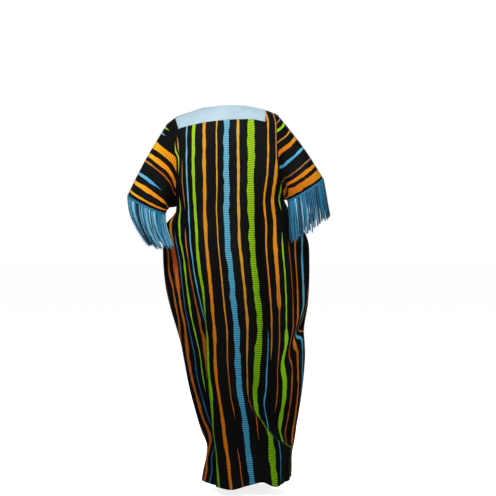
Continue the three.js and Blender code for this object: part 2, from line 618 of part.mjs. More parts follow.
// ---- Fringe ----
function strand(points, radius) {
  const sides = 3;
  const positions = [];
  const index = [];
  points.forEach((point, r) => {
    const size = radius * (r === points.length - 1 ? 0.8 : 1);
    range(sides).forEach((i) => {
      const angle = (2 * Math.PI * i) / sides;
      positions.push(point.x + size * Math.cos(angle), point.y + size * Math.sin(angle), point.z);
    });
  });
  for (let r = 0; r < points.length - 1; r++) {
    range(sides).forEach((i) => {
      const [a, b] = [r * sides + i, r * sides + ((i + 1) % sides)];
      index.push(a, a + sides, b, b, a + sides, b + sides);
    });
  }
  const tip = (points.length - 1) * sides;
  index.push(0, 1, 2, tip, tip + 2, tip + 1);
  const geometry = new THREE.BufferGeometry();
  geometry.setAttribute("position", new THREE.Float32BufferAttribute(positions, 3));
  geometry.setIndex(index);
  return outwards(geometry);
}

function solid(geometry) {
  return new wasm.Manifold(
    new wasm.Mesh({
      numProp: 3,
      vertProperties: new Float32Array(geometry.attributes.position.array),
      triVerts: new Uint32Array(geometry.index.array),
    }),
  );
}

function surface(made) {
  const { vertProperties, triVerts } = made.getMesh();
  const geometry = new THREE.BufferGeometry();
  geometry.setAttribute("position", new THREE.BufferAttribute(vertProperties, 3));
  geometry.setIndex(new THREE.BufferAttribute(triVerts, 1));
  return geometry;
}

// The heading continues the sleeve's wall past the cuff, and the strands hang from it.
function fringeWall(side) {
  const sleeve = SLEEVES[side];
  const { outer, inner, bend } = sleeve.fringe;
  const arm = armDirection(sleeve);
  const cuff = sleeves[side][SLEEVE_STEPS];
  const cuffNormals = sleeveNormals[side][SLEEVE_STEPS];
  const heading = [SEAM, SEAM + HEADING].map((run) => cuff.map((p) => p.clone().addScaledVector(arm, run)));
  const directions = [cuffNormals, cuffNormals];
  const middles = heading[1].map((p, i) =>
    p.clone().addScaledVector(cuffNormals[i], -HEADING_CLOTH / 2).addScaledVector(arm, -STRAND_ROOT),
  );
  const shares = range(STRANDS).map((i) => i / STRANDS);
  const roots = atShares([...middles, middles[0]], shares);
  const strands = roots.map((root, i) => {
    const angle = 2 * Math.PI * shares[i];
    const outwards = (1 + Math.cos(angle)) / 2;
    const uneven = 1 + 0.035 * Math.sin(5 * angle) + 0.03 * Math.sin(13 * angle + 1);
    const end = (key) => lerp(inner[key], outer[key], outwards);
    const tip = vector(end("x"), end("y"), end("z") * uneven);
    const knee = tip.clone().multiply(vector(bend * 0.35, bend * 0.5, 0.42));
    return solid(strand([root, root.clone().add(knee), root.clone().add(tip)], STRAND_RADIUS));
  });
  const backing = solid(wall(heading, directions, HEADING_CLOTH, true));
  return surface(strands.reduce((whole, one) => whole.add(one), backing));
}

// ---- Assembly ----
const kaftan = new THREE.Group();
kaftan.name = "kaftan";
for (const panel of ["back", "front"]) {
  kaftan.add(mesh(`${panel}_panel`, wall(panels[panel], normals[panel], CLOTH), COLOURS.cloth));
  kaftan.add(mesh(`${panel}_neck_band`, bandWall(panel), COLOURS.band));
}
for (const side of ["left", "right"]) {
  kaftan.add(mesh(`${side}_sleeve`, wall(sleeves[side], sleeveNormals[side], CLOTH, true), COLOURS.cloth));
  kaftan.add(mesh(`${side}_fringe`, fringeWall(side), COLOURS.fringe));
}
kaftan.updateMatrixWorld(true);

export default kaftan;
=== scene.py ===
"""Full-length striped kaftan in its worn shape, dressed as sewn cloth.

The body, sleeves and neck band are thin closed shells of cloth worked out on grids from the same named
sizes and short tables as the solids. The yarn of the fringes, the stitches and the seam allowances are
made here too. The functions that give the form count in millimetres, with +Z up, -Y the front and +X
the wearer's left. Meshes are in metres.
"""
import math

import bpy
import numpy as np
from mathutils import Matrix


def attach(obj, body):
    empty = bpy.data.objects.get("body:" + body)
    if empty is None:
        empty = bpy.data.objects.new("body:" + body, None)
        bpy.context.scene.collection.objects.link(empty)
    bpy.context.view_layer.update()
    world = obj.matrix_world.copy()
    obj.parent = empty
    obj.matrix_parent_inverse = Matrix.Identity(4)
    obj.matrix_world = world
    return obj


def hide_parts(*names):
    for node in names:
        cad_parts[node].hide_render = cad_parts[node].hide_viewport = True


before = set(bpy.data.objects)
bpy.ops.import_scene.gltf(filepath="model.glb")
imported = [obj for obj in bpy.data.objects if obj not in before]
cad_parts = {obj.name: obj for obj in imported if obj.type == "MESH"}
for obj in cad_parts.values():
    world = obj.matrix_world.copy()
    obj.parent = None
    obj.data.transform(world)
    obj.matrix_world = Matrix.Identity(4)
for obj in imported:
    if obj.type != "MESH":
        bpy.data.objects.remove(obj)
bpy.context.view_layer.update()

MM = 0.001
SEED = 7

# ---- Sizes, in millimetres ----
SHELL = 1.0  # wall of the visible cloth
SEAM = 0.3  # clear distance between two pieces at a seam
BAND_LIFT = 0.5  # between the neck band and the panels
BAND_CLOTH = 1.6
HALF_COLUMNS = 18  # columns are counted from the middle of a panel to its edge
NECK_COLUMN = 6  # where the neckline ends
BAND_COLUMN = 15  # where the neck band ends
COLUMN_STEP = 0.25
SKIRT_STEPS = 204  # rows from hem to underarm
CHEST_STEPS = 42  # rows from underarm to the band's lower edge
BAND_STEPS = 24  # rows across the neck band
UNDERARM = {"left": 372, "right": 346}  # how far below the origin each one lies
SHOULDER_POWER = 3  # how square the shoulders are, seen from the side
ARMHOLE_REACH = 70  # half the armhole's width, from back to front
NECK_SHARE = 0.37  # end of the neckline, as a share of the way to the armhole
BAND_SHARE = {"left": 0.855, "right": 0.77}  # ends of the neck band, as such shares
NECK_DIP = {"back": 20, "front": 55}  # degrees that the neckline lies below the shoulder line
NECK_SQUARE = 2.6  # how square the neckline is
HEM_LIFT = 260  # height over which the hem's dip dies out
SLEEVE_STEPS = 64  # rows from armhole to cuff
NECK_TURN = 1.5  # reach of the turned neck edge, over the edge and behind the panel
THIN_CLOTH = 0.7  # cloth of the turned neck edge and the seam allowances
HEADING = 8  # woven heading of a fringe, along the arm
HEADING_CLOTH = 2.4
HEADING_SHADE = 0.35  # of the yarn, from 0 for deep to 1 for pale
STRANDS = 900  # strands of yarn on each cuff
LOCKS = 120  # locks that they gather into
YARN_RADIUS = 0.7
THREAD_RADIUS = 0.28
FLOOR = -1466
FLOOR_REACH = 60000
SIGN = {"back": 1, "front": -1}  # the way that each panel faces along y
EDGE = {"left": -1, "right": 0}  # the column at each side's edge of a panel
OUT = {"left": 1, "right": -1}  # the way outwards along x


def table(columns, *rows):
    """A short table: each named column becomes one array, a value for each row."""
    values = np.array(rows, float)
    return {name: values[:, i] for i, name in enumerate(columns.split())}


# Skirt sections from the underarm down, as in the solids.
SKIRT = table(
    "drop grain left right back front round",
    (359, -9, 183, 232, 118, 122, 1.0),
    (385, -9, 188, 245, 118, 122, 0.92),
    (410, -10, 207, 265, 119, 122, 0.78),
    (434, -11, 225, 286, 121, 122, 0.63),
    (462, -12, 232, 306, 125, 123, 0.52),
    (510, -14, 235, 326, 133, 126, 0.45),
    (585, -22, 234, 330, 145, 132, 0.42),
    (673, -32, 226, 329, 152, 139, 0.4),
    (749, -39, 210, 324, 152, 144, 0.4),
    (844, -48, 182, 309, 148, 146, 0.45),
    (900, -50, 166, 312, 146, 146, 0.48),
    (958, -51, 155, 313, 144, 146, 0.5),
    (1072, -62, 133, 303, 138, 146, 0.55),
    (1160, -76, 110, 290, 132, 146, 0.65),
    (1232, -84, 88, 277, 128, 148, 0.75),
    (1284, -90, 66, 266, 128, 150, 0.8),
    (1330, -96, 69, 257, 130, 153, 0.8),
    (1375, -101, 79, 256, 133, 156, 0.8),
    (1414, -106, 86, 255, 136, 158, 0.8),
)

BODICE = table(
    "rise left right back front",
    (0, 183, 232, 118, 122),
    (0.25, 181, 218, 118, 122),
    (0.5, 178, 208, 120, 123),
    (0.75, 190, 203, 122, 116),
    (1, 219, 205, 118, 104),
)

SHOULDER = table(
    "across z back front",
    (-1, -17, -60, -154),
    (-0.79, -2, -54, -152),
    (-0.53, 9, -46, -150),
    (-0.37, 14, -46, -150),
    (0, 24, -50, -150),
    (0.37, 6, -58, -152),
    (0.65, -14, -69, -156),
    (0.85, -30, -80, -160),
    (1, -54, -98, -166),
)

HEM_DIP = table(
    "turn dip",
    (-180, 4), (-120, -2), (-90, 6), (-46, 10), (-32, 12), (-17, -6), (-2, 0),
    (20, 21), (36, 18), (62, 22), (90, 10), (130, -6), (180, 4),
)

# Main folds of each panel, as in the solids, whose left tuck alone is a little wider, and then its soft
# creases. Each row holds at0, drop0, at1, drop1, inner, outer, depth, fade in and fade out. A fold runs
# from (at0, drop0) to (at1, drop1), where at is the distance along the cloth from the grain line. inner
# and outer are its half-widths on the side of the grain line and on the far side.
MAIN_FOLDS = {
    "back": [
        (128, 590, 180, 1500, 17, 74, -62, 560, 170),
        (100, 640, 112, 1500, 46, 26, 12, 420, 60),
        (-6, 950, -232, 1330, 46, 48, -25, 220, 110),
        (40, 1010, -172, 1420, 44, 48, 10, 200, 150),
        (62, 120, 70, 900, 36, 36, -8, 200, 380),
        (-62, 240, -74, 1010, 44, 44, 11, 320, 240),
        (-150, 250, -160, 1180, 36, 44, -17, 260, 260),
        (-222, 420, -232, 1240, 34, 40, 13, 160, 240),
        (-214, 900, -340, 800, 26, 26, -13, 60, 40),
        (205, 470, 214, 900, 34, 34, -14, 130, 200),
        (34, 1090, 34, 1560, 38, 38, -12, 260, 60),
        (-98, 1290, -106, 1560, 32, 32, 15, 110, 60),
    ],
    "front": [
        (8, 520, 22, 1560, 44, 44, -24, 560, 60),
        (88, 300, 96, 1560, 38, 38, 20, 620, 60),
        (-82, 310, -70, 1560, 40, 40, 22, 600, 60),
        (162, 400, 158, 1560, 36, 40, -32, 700, 60),
        (-156, 420, -140, 1560, 38, 40, -30, 640, 60),
        (-232, 440, -206, 1560, 36, 36, 20, 360, 60),
        (228, 450, 206, 1200, 34, 34, 16, 260, 260),
        (-300, 520, -262, 1300, 32, 32, -16, 200, 300),
        (210, 470, 30, 800, 40, 40, 12, 90, 160),
    ],
}
SOFT_FOLDS = {
    "back": [
        (150, 470, 132, 1010, 12, 12, -4, 120, 220),
        (188, 490, 176, 1080, 12, 12, -5, 140, 240),
        (238, 520, 230, 980, 10, 10, -5, 120, 200),
        (96, 720, 108, 1330, 12, 12, -3, 200, 200),
        (-122, 430, -130, 930, 14, 14, -3, 160, 200),
        (-188, 390, -194, 1030, 14, 14, -5, 160, 220),
        (-216, 430, -224, 1010, 12, 12, -5, 140, 200),
        (-254, 450, -260, 1120, 11, 11, -5, 120, 240),
        (-284, 480, -290, 1010, 10, 10, -4, 120, 200),
        (-70, 900, -214, 1220, 16, 16, -4, 100, 140),
        (150, 190, 112, 440, 16, 16, -3, 90, 120),
        (-152, 180, -112, 430, 16, 16, -3, 90, 120),
        (176, 350, 88, 560, 14, 14, 3, 60, 110),
        (-196, 340, -112, 560, 14, 14, 3, 60, 110),
        (18, 620, 30, 1010, 20, 20, -2, 160, 160),
        (-42, 1150, -62, 1560, 15, 15, -4, 130, 60),
        (70, 1200, 76, 1560, 14, 14, 4, 110, 60),
        (-164, 1260, -172, 1560, 13, 13, -5, 100, 60),
        (2, 1250, 6, 1560, 14, 14, 3, 100, 60),
        (-262, 1180, -256, 1560, 14, 14, -6, 120, 60),
    ],
    "front": [
        (46, 560, 56, 1560, 16, 16, -4, 220, 60),
        (-34, 620, -26, 1560, 15, 15, 4, 260, 60),
        (126, 480, 132, 1560, 14, 14, 4, 240, 60),
        (-118, 470, -106, 1560, 14, 14, -4, 240, 60),
        (196, 440, 188, 1300, 13, 13, -5, 200, 240),
        (-196, 430, -178, 1560, 14, 14, 4, 200, 60),
        (-268, 470, -236, 1480, 12, 12, -5, 180, 120),
        (168, 330, 84, 520, 14, 14, 3, 60, 110),
        (-188, 320, -98, 520, 14, 14, 3, 60, 110),
        (140, 210, 112, 420, 16, 16, -3, 80, 110),
        (-146, 200, -112, 420, 16, 16, -3, 80, 110),
        (6, 900, 12, 1560, 13, 13, 3, 200, 60),
    ],
}

# Each sleeve ends in an oval cuff, as in the solids. Folds of a sleeve: turn, width, depth, from, to.
SLEEVES = {
    "left": {
        "low": (215, -396), "high": (359, -327), "y": 84, "reach": 56, "sag": 13, "fall": 1.6,
        "fringe": {"outer": (-64, 2, -176), "inner": (-27, 16, -124), "bend": 0.45},
        "folds": [
            (36, 26, 5, 0.15, 1), (84, 24, -8, 0.05, 0.95), (128, 24, 8, 0, 1.1), (158, 18, -7, 0, 0.9),
            (214, 24, 6, 0, 1), (262, 28, -8, 0.05, 1), (318, 26, 5, 0.2, 1),
        ],
        "creases": [
            (60, 9, 1.6, 0.3, 1), (104, 8, -2.4, 0.1, 0.9), (142, 8, -2.2, 0.05, 0.8),
            (170, 8, 2.2, 0.1, 1), (238, 9, -1.8, 0.2, 1), (290, 9, 1.6, 0.3, 1),
        ],
    },
    "right": {
        "low": (-238, -350), "high": (-375, -266), "y": 86, "reach": 54, "sag": 11, "fall": 1.15,
        "fringe": {"outer": (-20, 4, -126), "inner": (-11, 24, -138), "bend": 1.3},
        "folds": [
            (30, 26, 5, 0.2, 1), (74, 26, -7, 0.05, 0.95), (120, 24, 7, 0, 1), (154, 18, -7, 0, 0.9),
            (210, 24, 6, 0, 1), (258, 28, -8, 0.05, 1), (312, 26, 5, 0.2, 1),
        ],
        "creases": [
            (50, 9, 1.6, 0.3, 1), (96, 8, -2.4, 0.1, 0.9), (138, 8, -2.2, 0.05, 0.8),
            (168, 8, 2.2, 0.1, 1), (234, 9, -1.8, 0.2, 1), (286, 9, 1.6, 0.3, 1),
        ],
    },
}

# ---- The cloth's stripes ----
# Stripes of the panels. place: distance from the grain line along the cloth, positive to the wearer's
# left. half: half-width. dye: a name in DYES. start, end: how far below the underarm level the stripe
# starts and ends. rib: how dark its cross threads are.
STRIPE_FRAY = 0.0006  # in metres, over which a stripe's edge fades
STRIPE_TAPER = 0.03  # in metres, over which its ends narrow
ALL_DOWN = (-600, 1400)
PANEL_STRIPES = [
    # place, half, dye, (start, end), rib
    (-3, 10.5, "sky", ALL_DOWN, 0.8),
    (34, 2.5, "amber", (-600, 620), 0.1),
    (34, 1.8, "rust", (560, 800), 0.1),
    (37, 2, "rust", (940, 1400), 0.1),
    (81, 6, "orange", ALL_DOWN, 0.35),
    (123, 5.8, "lime", (-600, 760), 0.5),
    (122, 7.5, "lime", (660, 1400), 0.5),
    (151, 2.6, "sky", ALL_DOWN, 0.1),
    (170, 1.6, "rust", (-170, 0), 0.1),
    (171, 3.2, "rust", (110, 1400), 0.1),
    (169, 7, "rust", (500, 700), 0.1),
    (181, 2.5, "amber", (-262, -236), 0.1),
    (192, 3, "lime", (-246, -158), 0.1),
    (192, 3.4, "lime", (-20, 440), 0.1),
    (192, 2, "lime", (380, 720), 0.1),
    (213, 2, "teal", (120, 1400), 0.1),
    (234, 7, "orange", (0, 170), 0.2),
    (235, 10, "russet", (130, 340), 0.2),
    (234, 5, "rust", (260, 1400), 0.2),
    (262, 5, "rust", (0, 1400), 0.1),
    (300, 3.2, "rust", (-600, 570), 0.1),
    (-48, 4.8, "amber", (-600, 790), 0.15),
    (-48, 1.8, "rust", (620, 890), 0.1),
    (-96, 12.8, "lime", ALL_DOWN, 0.85),
    (-143, 3, "sky", (510, 890), 0.1),
    (-134, 2.2, "sky", (885, 1400), 0.1),
    (-164, 3.6, "orange", (-600, 590), 0.15),
    (-198, 2.6, "rust", (-600, -150), 0.1),
    (-199, 6.5, "orange", (-170, 420), 0.2),
    (-199, 2.4, "rust", (330, 800), 0.1),
    (-227, 2.8, "lime", (-70, 25), 0.1),
    (-227, 2.6, "lime", (150, 560), 0.1),
    (-227, 7.5, "lime", (500, 1400), 0.3),
    (-256, 2.8, "rust", (185, 1400), 0.1),
    (-288, 4, "orange", ALL_DOWN, 0.1),
    (-288, 7.5, "orange", (530, 720), 0.1),
    (-320, 4.5, "sky", ALL_DOWN, 0.1),
    (-346, 3.5, "rust", (380, 1400), 0.1),
]
# Stripes round the sleeves. place: distance from the cuff along the arm.
WHOLE_ROUND = (-600, 1400)
FRONT_HALF = (250, 1400)
SLEEVE_STRIPES = {
    "left": [
        (15, 4.5, "gold", WHOLE_ROUND, 0.15),
        (53, 7.5, "gold", WHOLE_ROUND, 0.2),
        (90, 6, "sky", (0, 118), 0.25),
        (90, 6.5, "sky", (260, 1400), 0.25),
        (146, 3.5, "rust", WHOLE_ROUND, 0.1),
        (175, 9, "gold", WHOLE_ROUND, 0.25),
        (219, 15, "gold", WHOLE_ROUND, 0.35),
        (250, 3, "lime", FRONT_HALF, 0.1),
        (275, 3.4, "sky", (-600, 40), 0.1),
        (275, 3, "sky", FRONT_HALF, 0.1),
        (300, 4.4, "lime", (-600, 46), 0.1),
        (300, 4, "lime", FRONT_HALF, 0.1),
    ],
    "right": [
        (23, 14, "orange", WHOLE_ROUND, 0.35),
        (59, 6.5, "orange", WHOLE_ROUND, 0.2),
        (90, 3, "tan", WHOLE_ROUND, 0.1),
        (145, 6, "sky", WHOLE_ROUND, 0.25),
        (198, 8.5, "orange", WHOLE_ROUND, 0.25),
        (236, 3.5, "amber", WHOLE_ROUND, 0.1),
        (275, 5, "lime", WHOLE_ROUND, 0.1),
        (302, 3, "tan", WHOLE_ROUND, 0.1),
    ],
}
# How much longer each sleeve's cloth is than its threads lie, by turn from the shoulder over the back.
GATHER = {
    "left": table("turn by", (0, 0.98), (60, 0.97), (85, 1), (100, 1.05), (115, 1.15), (133, 1.28),
                  (150, 1.3), (180, 1.3), (215, 1.2), (260, 1.05), (360, 0.98)),
    "right": table("turn by", (0, 1), (98, 1.05), (107, 1.07), (119, 0.99), (136, 0.86), (150, 0.7),
                   (180, 0.6), (215, 0.7), (260, 0.95), (300, 1), (360, 1)),
}

DYES = {
    "ground": (13, 14, 18),
    "sky": (118, 196, 224),
    "teal": (84, 150, 184),
    "amber": (216, 164, 62),
    "gold": (246, 186, 40),
    "orange": (230, 160, 36),
    "rust": (204, 138, 60),
    "russet": (200, 106, 36),
    "tan": (184, 142, 94),
    "lime": (172, 220, 26),
    "band": (178, 204, 216),
    # The yarn's pale and deep ends carry painted highlights and painted shade as well as the yarn's own
    # tone.
    "yarn_pale_and_highlight": (158, 218, 236),
    "yarn": (24, 132, 176),
    "yarn_deep_and_shade": (2, 32, 52),
    "thread": (176, 208, 228),
    "dark_thread": (20, 22, 28),
}
# Linear colours that patches of the ground and the whole wrong side turn towards.
DEEP_GROUND = (0.002, 0.0026, 0.0035, 1)
WRONG_SIDE = (0.012, 0.012, 0.014, 1)


# ---- Small helpers ----
def smoothstep(x, low, high):
    """0 below low, 1 above high, and 3t^2 - 2t^3 between them."""
    t = np.clip((x - low) / (high - low), 0, 1)
    return t * t * (3 - 2 * t)


def lerp(a, b, t):
    """The value t of the way from a to b."""
    return a + (b - a) * t


def along(rows, key, column, place):
    """A column at a place along the key, on a cubic curve through the rows. The slope at a row is that of
    the line between its two neighbours."""
    x, y = rows[key], rows[column]
    last = len(x) - 1
    n = np.arange(last + 1)
    before, after = np.maximum(n - 1, 0), np.minimum(n + 1, last)
    slope = (y[after] - y[before]) / (x[after] - x[before])
    at = np.clip(place, x[0], x[-1])
    i = np.clip(np.searchsorted(x, at, side="right") - 1, 0, last - 1)
    span = x[i + 1] - x[i]
    t = (at - x[i]) / span
    return (
        y[i] * (2 * t**3 - 3 * t**2 + 1)
        + slope[i] * span * (t**3 - 2 * t**2 + t)
        + y[i + 1] * (3 * t**2 - 2 * t**3)
        + slope[i + 1] * span * (t**3 - t**2)
    )


def unit(v):
    """Each vector divided by its length."""
    return v / np.maximum(np.linalg.norm(v, axis=-1, keepdims=True), 1e-9)


def lengths(points, axis):
    """Running length of polylines that lie along one axis of a grid, from 0."""
    step = np.linalg.norm(np.diff(points, axis=axis), axis=-1)
    start = np.zeros_like(np.take(step, [0], axis=axis))
    return np.concatenate([start, np.cumsum(step, axis=axis)], axis=axis)


def at_shares(points, shares):
    """Points of each row's polyline at the given shares of its length."""
    run = lengths(points, 1)
    goal = shares[None, :] * run[:, -1:]
    i = (run[:, None, :] < goal[:, :, None]).sum(axis=2).clip(1, points.shape[1] - 1)
    r = np.arange(len(points))[:, None]
    t = (goal - run[r, i - 1]) / (run[r, i] - run[r, i - 1])
    return lerp(points[r, i - 1], points[r, i], t[..., None])


def around(ring):
    """A ring with its first point again at its end, as a grid of one row."""
    return np.concatenate([ring, ring[:1]])[None]


def fold_push(folds, at, drop):
    """How far the folds push the cloth outwards: the sum over the folds of depth x exp(-side^2) x fades,
    where side is the distance from the fold's middle over its half-width."""
    push = 0
    for at0, drop0, at1, drop1, inner, outer, depth, fade_in, fade_out in folds:
        run = (drop - drop0) * (1 if drop1 > drop0 else -1)
        length = abs(drop1 - drop0)
        middle = lerp(at0, at1, np.clip(run / length, 0, 1))
        outwards = (np.abs(at) > np.abs(middle)) & (at * middle > 0)
        side = (at - middle) / np.where(outwards, outer, inner)
        fade = smoothstep(run, 0, fade_in) * (1 - smoothstep(run, length - fade_out, length))
        push = push + depth * np.exp(-side * side) * fade
    return push


# ---- Body ----
def skirt_point(panel, drop, turn):
    """A level's point at a section angle. x is grain + reach sin, y is depth x (round cos +
    (1 - round) cos^3), and z is minus the drop, the underarms' tilt and the hem's dip."""

    def row(column):
        """A column of the skirt's table at this drop."""
        return along(SKIRT, "drop", column, drop)

    reach = np.where(turn >= 0, row("left") - row("grain"), row("right") + row("grain"))
    angle = np.radians(turn)
    rounded = row("round")
    depth = row(panel) * (rounded * np.cos(angle) + (1 - rounded) * np.cos(angle) ** 3)
    full_turn = turn if panel == "back" else np.where(turn < 0, -1, 1) * (180 - np.abs(turn))
    tilt = (UNDERARM["left"] - UNDERARM["right"]) / 2 * np.sin(angle)
    below = smoothstep(drop, SKIRT["drop"][0], SKIRT["drop"][5])
    hem = SKIRT["drop"][-1]
    dip = along(HEM_DIP, "turn", "dip", full_turn) * smoothstep(drop, hem - HEM_LIFT, hem)
    x = row("grain") + reach * np.sin(angle)
    z = -drop - tilt * (1 - below) - dip
    return np.stack(np.broadcast_arrays(x, SIGN[panel] * depth, z), axis=-1)


def skirt_rows(panel, drops, shares):
    """Levels of the skirt, each from the wearer's right to left: the smooth section is pushed out along
    its own normal by the folds, and its columns then lie at even shares of its length."""
    halves = []
    for side in (-1, 1):
        turn = side * np.linspace(0, 90, 241)[None, :]
        smooth = skirt_point(panel, drops[:, None], turn)
        n = np.arange(241)
        before, after = smooth[:, np.maximum(n - 1, 0)], smooth[:, np.minimum(n + 1, 240)]
        outwards = np.zeros_like(smooth)
        outwards[..., 0] = after[..., 1] - before[..., 1]
        outwards[..., 1] = before[..., 0] - after[..., 0]
        outwards = unit(outwards)
        outwards *= np.where(outwards[..., 1:2] * SIGN[panel] < 0, -1, 1)
        push = fold_push(FOLDS[panel], side * lengths(smooth, 1), drops[:, None])
        push = push * (1 - smoothstep(np.abs(turn), 68, 90))
        halves.append(at_shares(smooth + outwards * push[..., None], shares))
    return np.concatenate([halves[0][:, ::-1], halves[1][:, 1:]], axis=1)


def across_of(column):
    """Where a column lies on the shoulders, from -1 at the right armhole to 1 at the left one."""
    c, place = np.abs(column), [0, NECK_COLUMN, BAND_COLUMN, HALF_COLUMNS]
    left = np.interp(c, place, [0, NECK_SHARE, BAND_SHARE["left"], 1])
    right = np.interp(c, place, [0, NECK_SHARE, BAND_SHARE["right"], 1])
    return np.where(column >= 0, left, -right)


def underarm_z(across):
    """Level of the underarm line across the panels."""
    return -lerp(UNDERARM["right"], UNDERARM["left"], (across + 1) / 2)


def shoulder_z(across):
    """Level of the shoulder line across the panels."""
    return along(SHOULDER, "across", "z", across)


def curve_rise(angle):
    """Rise of the superellipse side view at an angle: sin^(2 / power)."""
    return np.sin(angle) ** (2 / SHOULDER_POWER)


def bodice_point(panel, across, even, rise):
    """A point of the bodice. Seen from the side the body is a superellipse of power 3. Seen from above it
    is an ellipse cut off at the armholes, whose edge lies at twice the armhole's reach times
    sqrt(rise (1 - rise))."""

    def row(column):
        """A column of the bodice's table at this rise."""
        return along(BODICE, "rise", column, rise)

    grain = SKIRT["grain"][0]
    reach = np.where(across >= 0, row("left") - grain, row("right") + grain)
    sign = np.where(across >= 0, 1, -1)
    share = lerp(even, np.abs(across), smoothstep(rise, 0, 0.35))
    edge = 2 * ARMHOLE_REACH * np.sqrt(np.maximum(rise * (1 - rise), 0))
    middle = row(panel) * np.maximum(1 - rise**SHOULDER_POWER, 0) ** (1 / SHOULDER_POWER)
    open_to = np.arccos(np.minimum(edge / np.maximum(middle, 1), 0.95))
    angle = np.arcsin(np.clip(share * np.sin(open_to), -1, 1))
    z = lerp(underarm_z(sign * share), shoulder_z(across), rise)
    push = fold_push(FOLDS[panel], share * reach * sign, -z) * (1 - smoothstep(rise, 0.55, 0.85))
    y = middle * np.cos(angle) + push * (1 - smoothstep(share, 0.75, 1))
    return np.stack(np.broadcast_arrays(grain + sign * share * reach, SIGN[panel] * y, z), axis=-1)


def band_angles(panel, across):
    """Angles of the band's lower edge and of the neckline or shoulder edge, and the low edge's rise."""
    in_neck = np.maximum(1 - (across / NECK_SHARE) ** 2, 0) ** (1 / NECK_SQUARE)
    top = np.radians(90 - NECK_DIP[panel] * in_neck)
    level = along(SHOULDER, "across", panel, across)
    low = (level - underarm_z(across)) / (shoulder_z(across) - underarm_z(across))
    return low, np.arcsin(low ** (SHOULDER_POWER / 2)), top


COLUMNS = np.arange(-HALF_COLUMNS, HALF_COLUMNS + COLUMN_STEP / 2, COLUMN_STEP)
SHARES = np.arange(0, HALF_COLUMNS + COLUMN_STEP / 2, COLUMN_STEP) / HALF_COLUMNS
FOLDS = {panel: MAIN_FOLDS[panel] + SOFT_FOLDS[panel] for panel in SIGN}


def panel_grid(panel):
    """All rows of a panel, from the hem up to the shoulder seam and neckline."""
    drops = np.linspace(SKIRT["drop"][-1], SKIRT["drop"][0], SKIRT_STEPS + 1)
    skirt = skirt_rows(panel, drops, SHARES)
    across = across_of(COLUMNS)[None, :]
    end = np.where(COLUMNS >= 0, skirt[-1, -1, 0], skirt[-1, 0, 0])
    even = ((skirt[-1, :, 0] - SKIRT["grain"][0]) / (end - SKIRT["grain"][0]))[None, :]
    low, low_angle, top_angle = band_angles(panel, across)
    step = np.arange(1, CHEST_STEPS + 1)[:, None] / CHEST_STEPS
    chest = bodice_point(panel, across, even, (1 - np.cos(np.arccos(1 - 2 * low) * step)) / 2)
    step = np.arange(1, BAND_STEPS + 1)[:, None] / BAND_STEPS
    band = bodice_point(panel, across, even, curve_rise(lerp(low_angle, top_angle, step)))
    grid = np.concatenate([skirt, chest, band])
    grid[..., 1] += SIGN[panel] * SEAM / 2
    return grid


def grid_normals(grid, flip, closed=False):
    """Outward direction at each point: the cross product of the way along its row and up its column."""
    r, c = np.arange(grid.shape[0]), np.arange(grid.shape[1])
    up = grid[np.minimum(r + 1, r[-1])] - grid[np.maximum(r - 1, 0)]
    if closed:
        side = np.roll(grid, -1, axis=1) - np.roll(grid, 1, axis=1)
    else:
        side = grid[:, np.minimum(c + 1, c[-1])] - grid[:, np.maximum(c - 1, 0)]
    return unit(np.cross(side, up)) * (-1 if flip else 1)


def band_normals(panel, across, angle):
    """Outward direction of the bodice's own curve at an angle of its side view."""
    step = 0.01

    def at(side, up):
        """The bodice a little sideways and a little up."""
        return bodice_point(panel, across + side, 0, curve_rise(np.minimum(angle + up, np.pi / 2)))

    cross = np.cross(at(step, 0) - at(-step, 0), at(0, step) - at(0, -step))
    return unit(cross) * -SIGN[panel]


def panel_normals(panel, grid):
    """The grid's directions, those of the bodice's curve under the band, and flat ones in the seams."""
    normals = grid_normals(grid, panel == "back")
    across = across_of(COLUMNS)[None, :]
    _, low_angle, top_angle = band_angles(panel, across)
    step = np.arange(BAND_STEPS + 1)[:, None] / BAND_STEPS
    normals[-BAND_STEPS - 1 :] = band_normals(panel, across, lerp(low_angle, top_angle, step))
    for c in (0, -1):
        normals[: SKIRT_STEPS + 1, c, 1] = 0
    normals[-1, np.abs(COLUMNS) >= NECK_COLUMN, 1] = 0
    return unit(normals)


# ---- Sleeves ----
def arm_direction(sleeve):
    """The way down the arm, square to the cuff."""
    x, z = np.array(sleeve["high"], float) - sleeve["low"]
    down = unit(np.array([z, 0, -x]))
    return -down if down[2] > 0 else down


def armhole_ring(grids, column):
    """A column of the back and of the front, each from the shoulder to the underarm, joined into one
    ring. Its two ends at the seams lie in the plane y = 0."""
    back, front = (grids[panel][: SKIRT_STEPS - 1 : -1, column] for panel in SIGN)
    ring = np.concatenate([back, front[-2:0:-1]])
    ring[[0, len(back) - 1], 1] = 0
    return ring


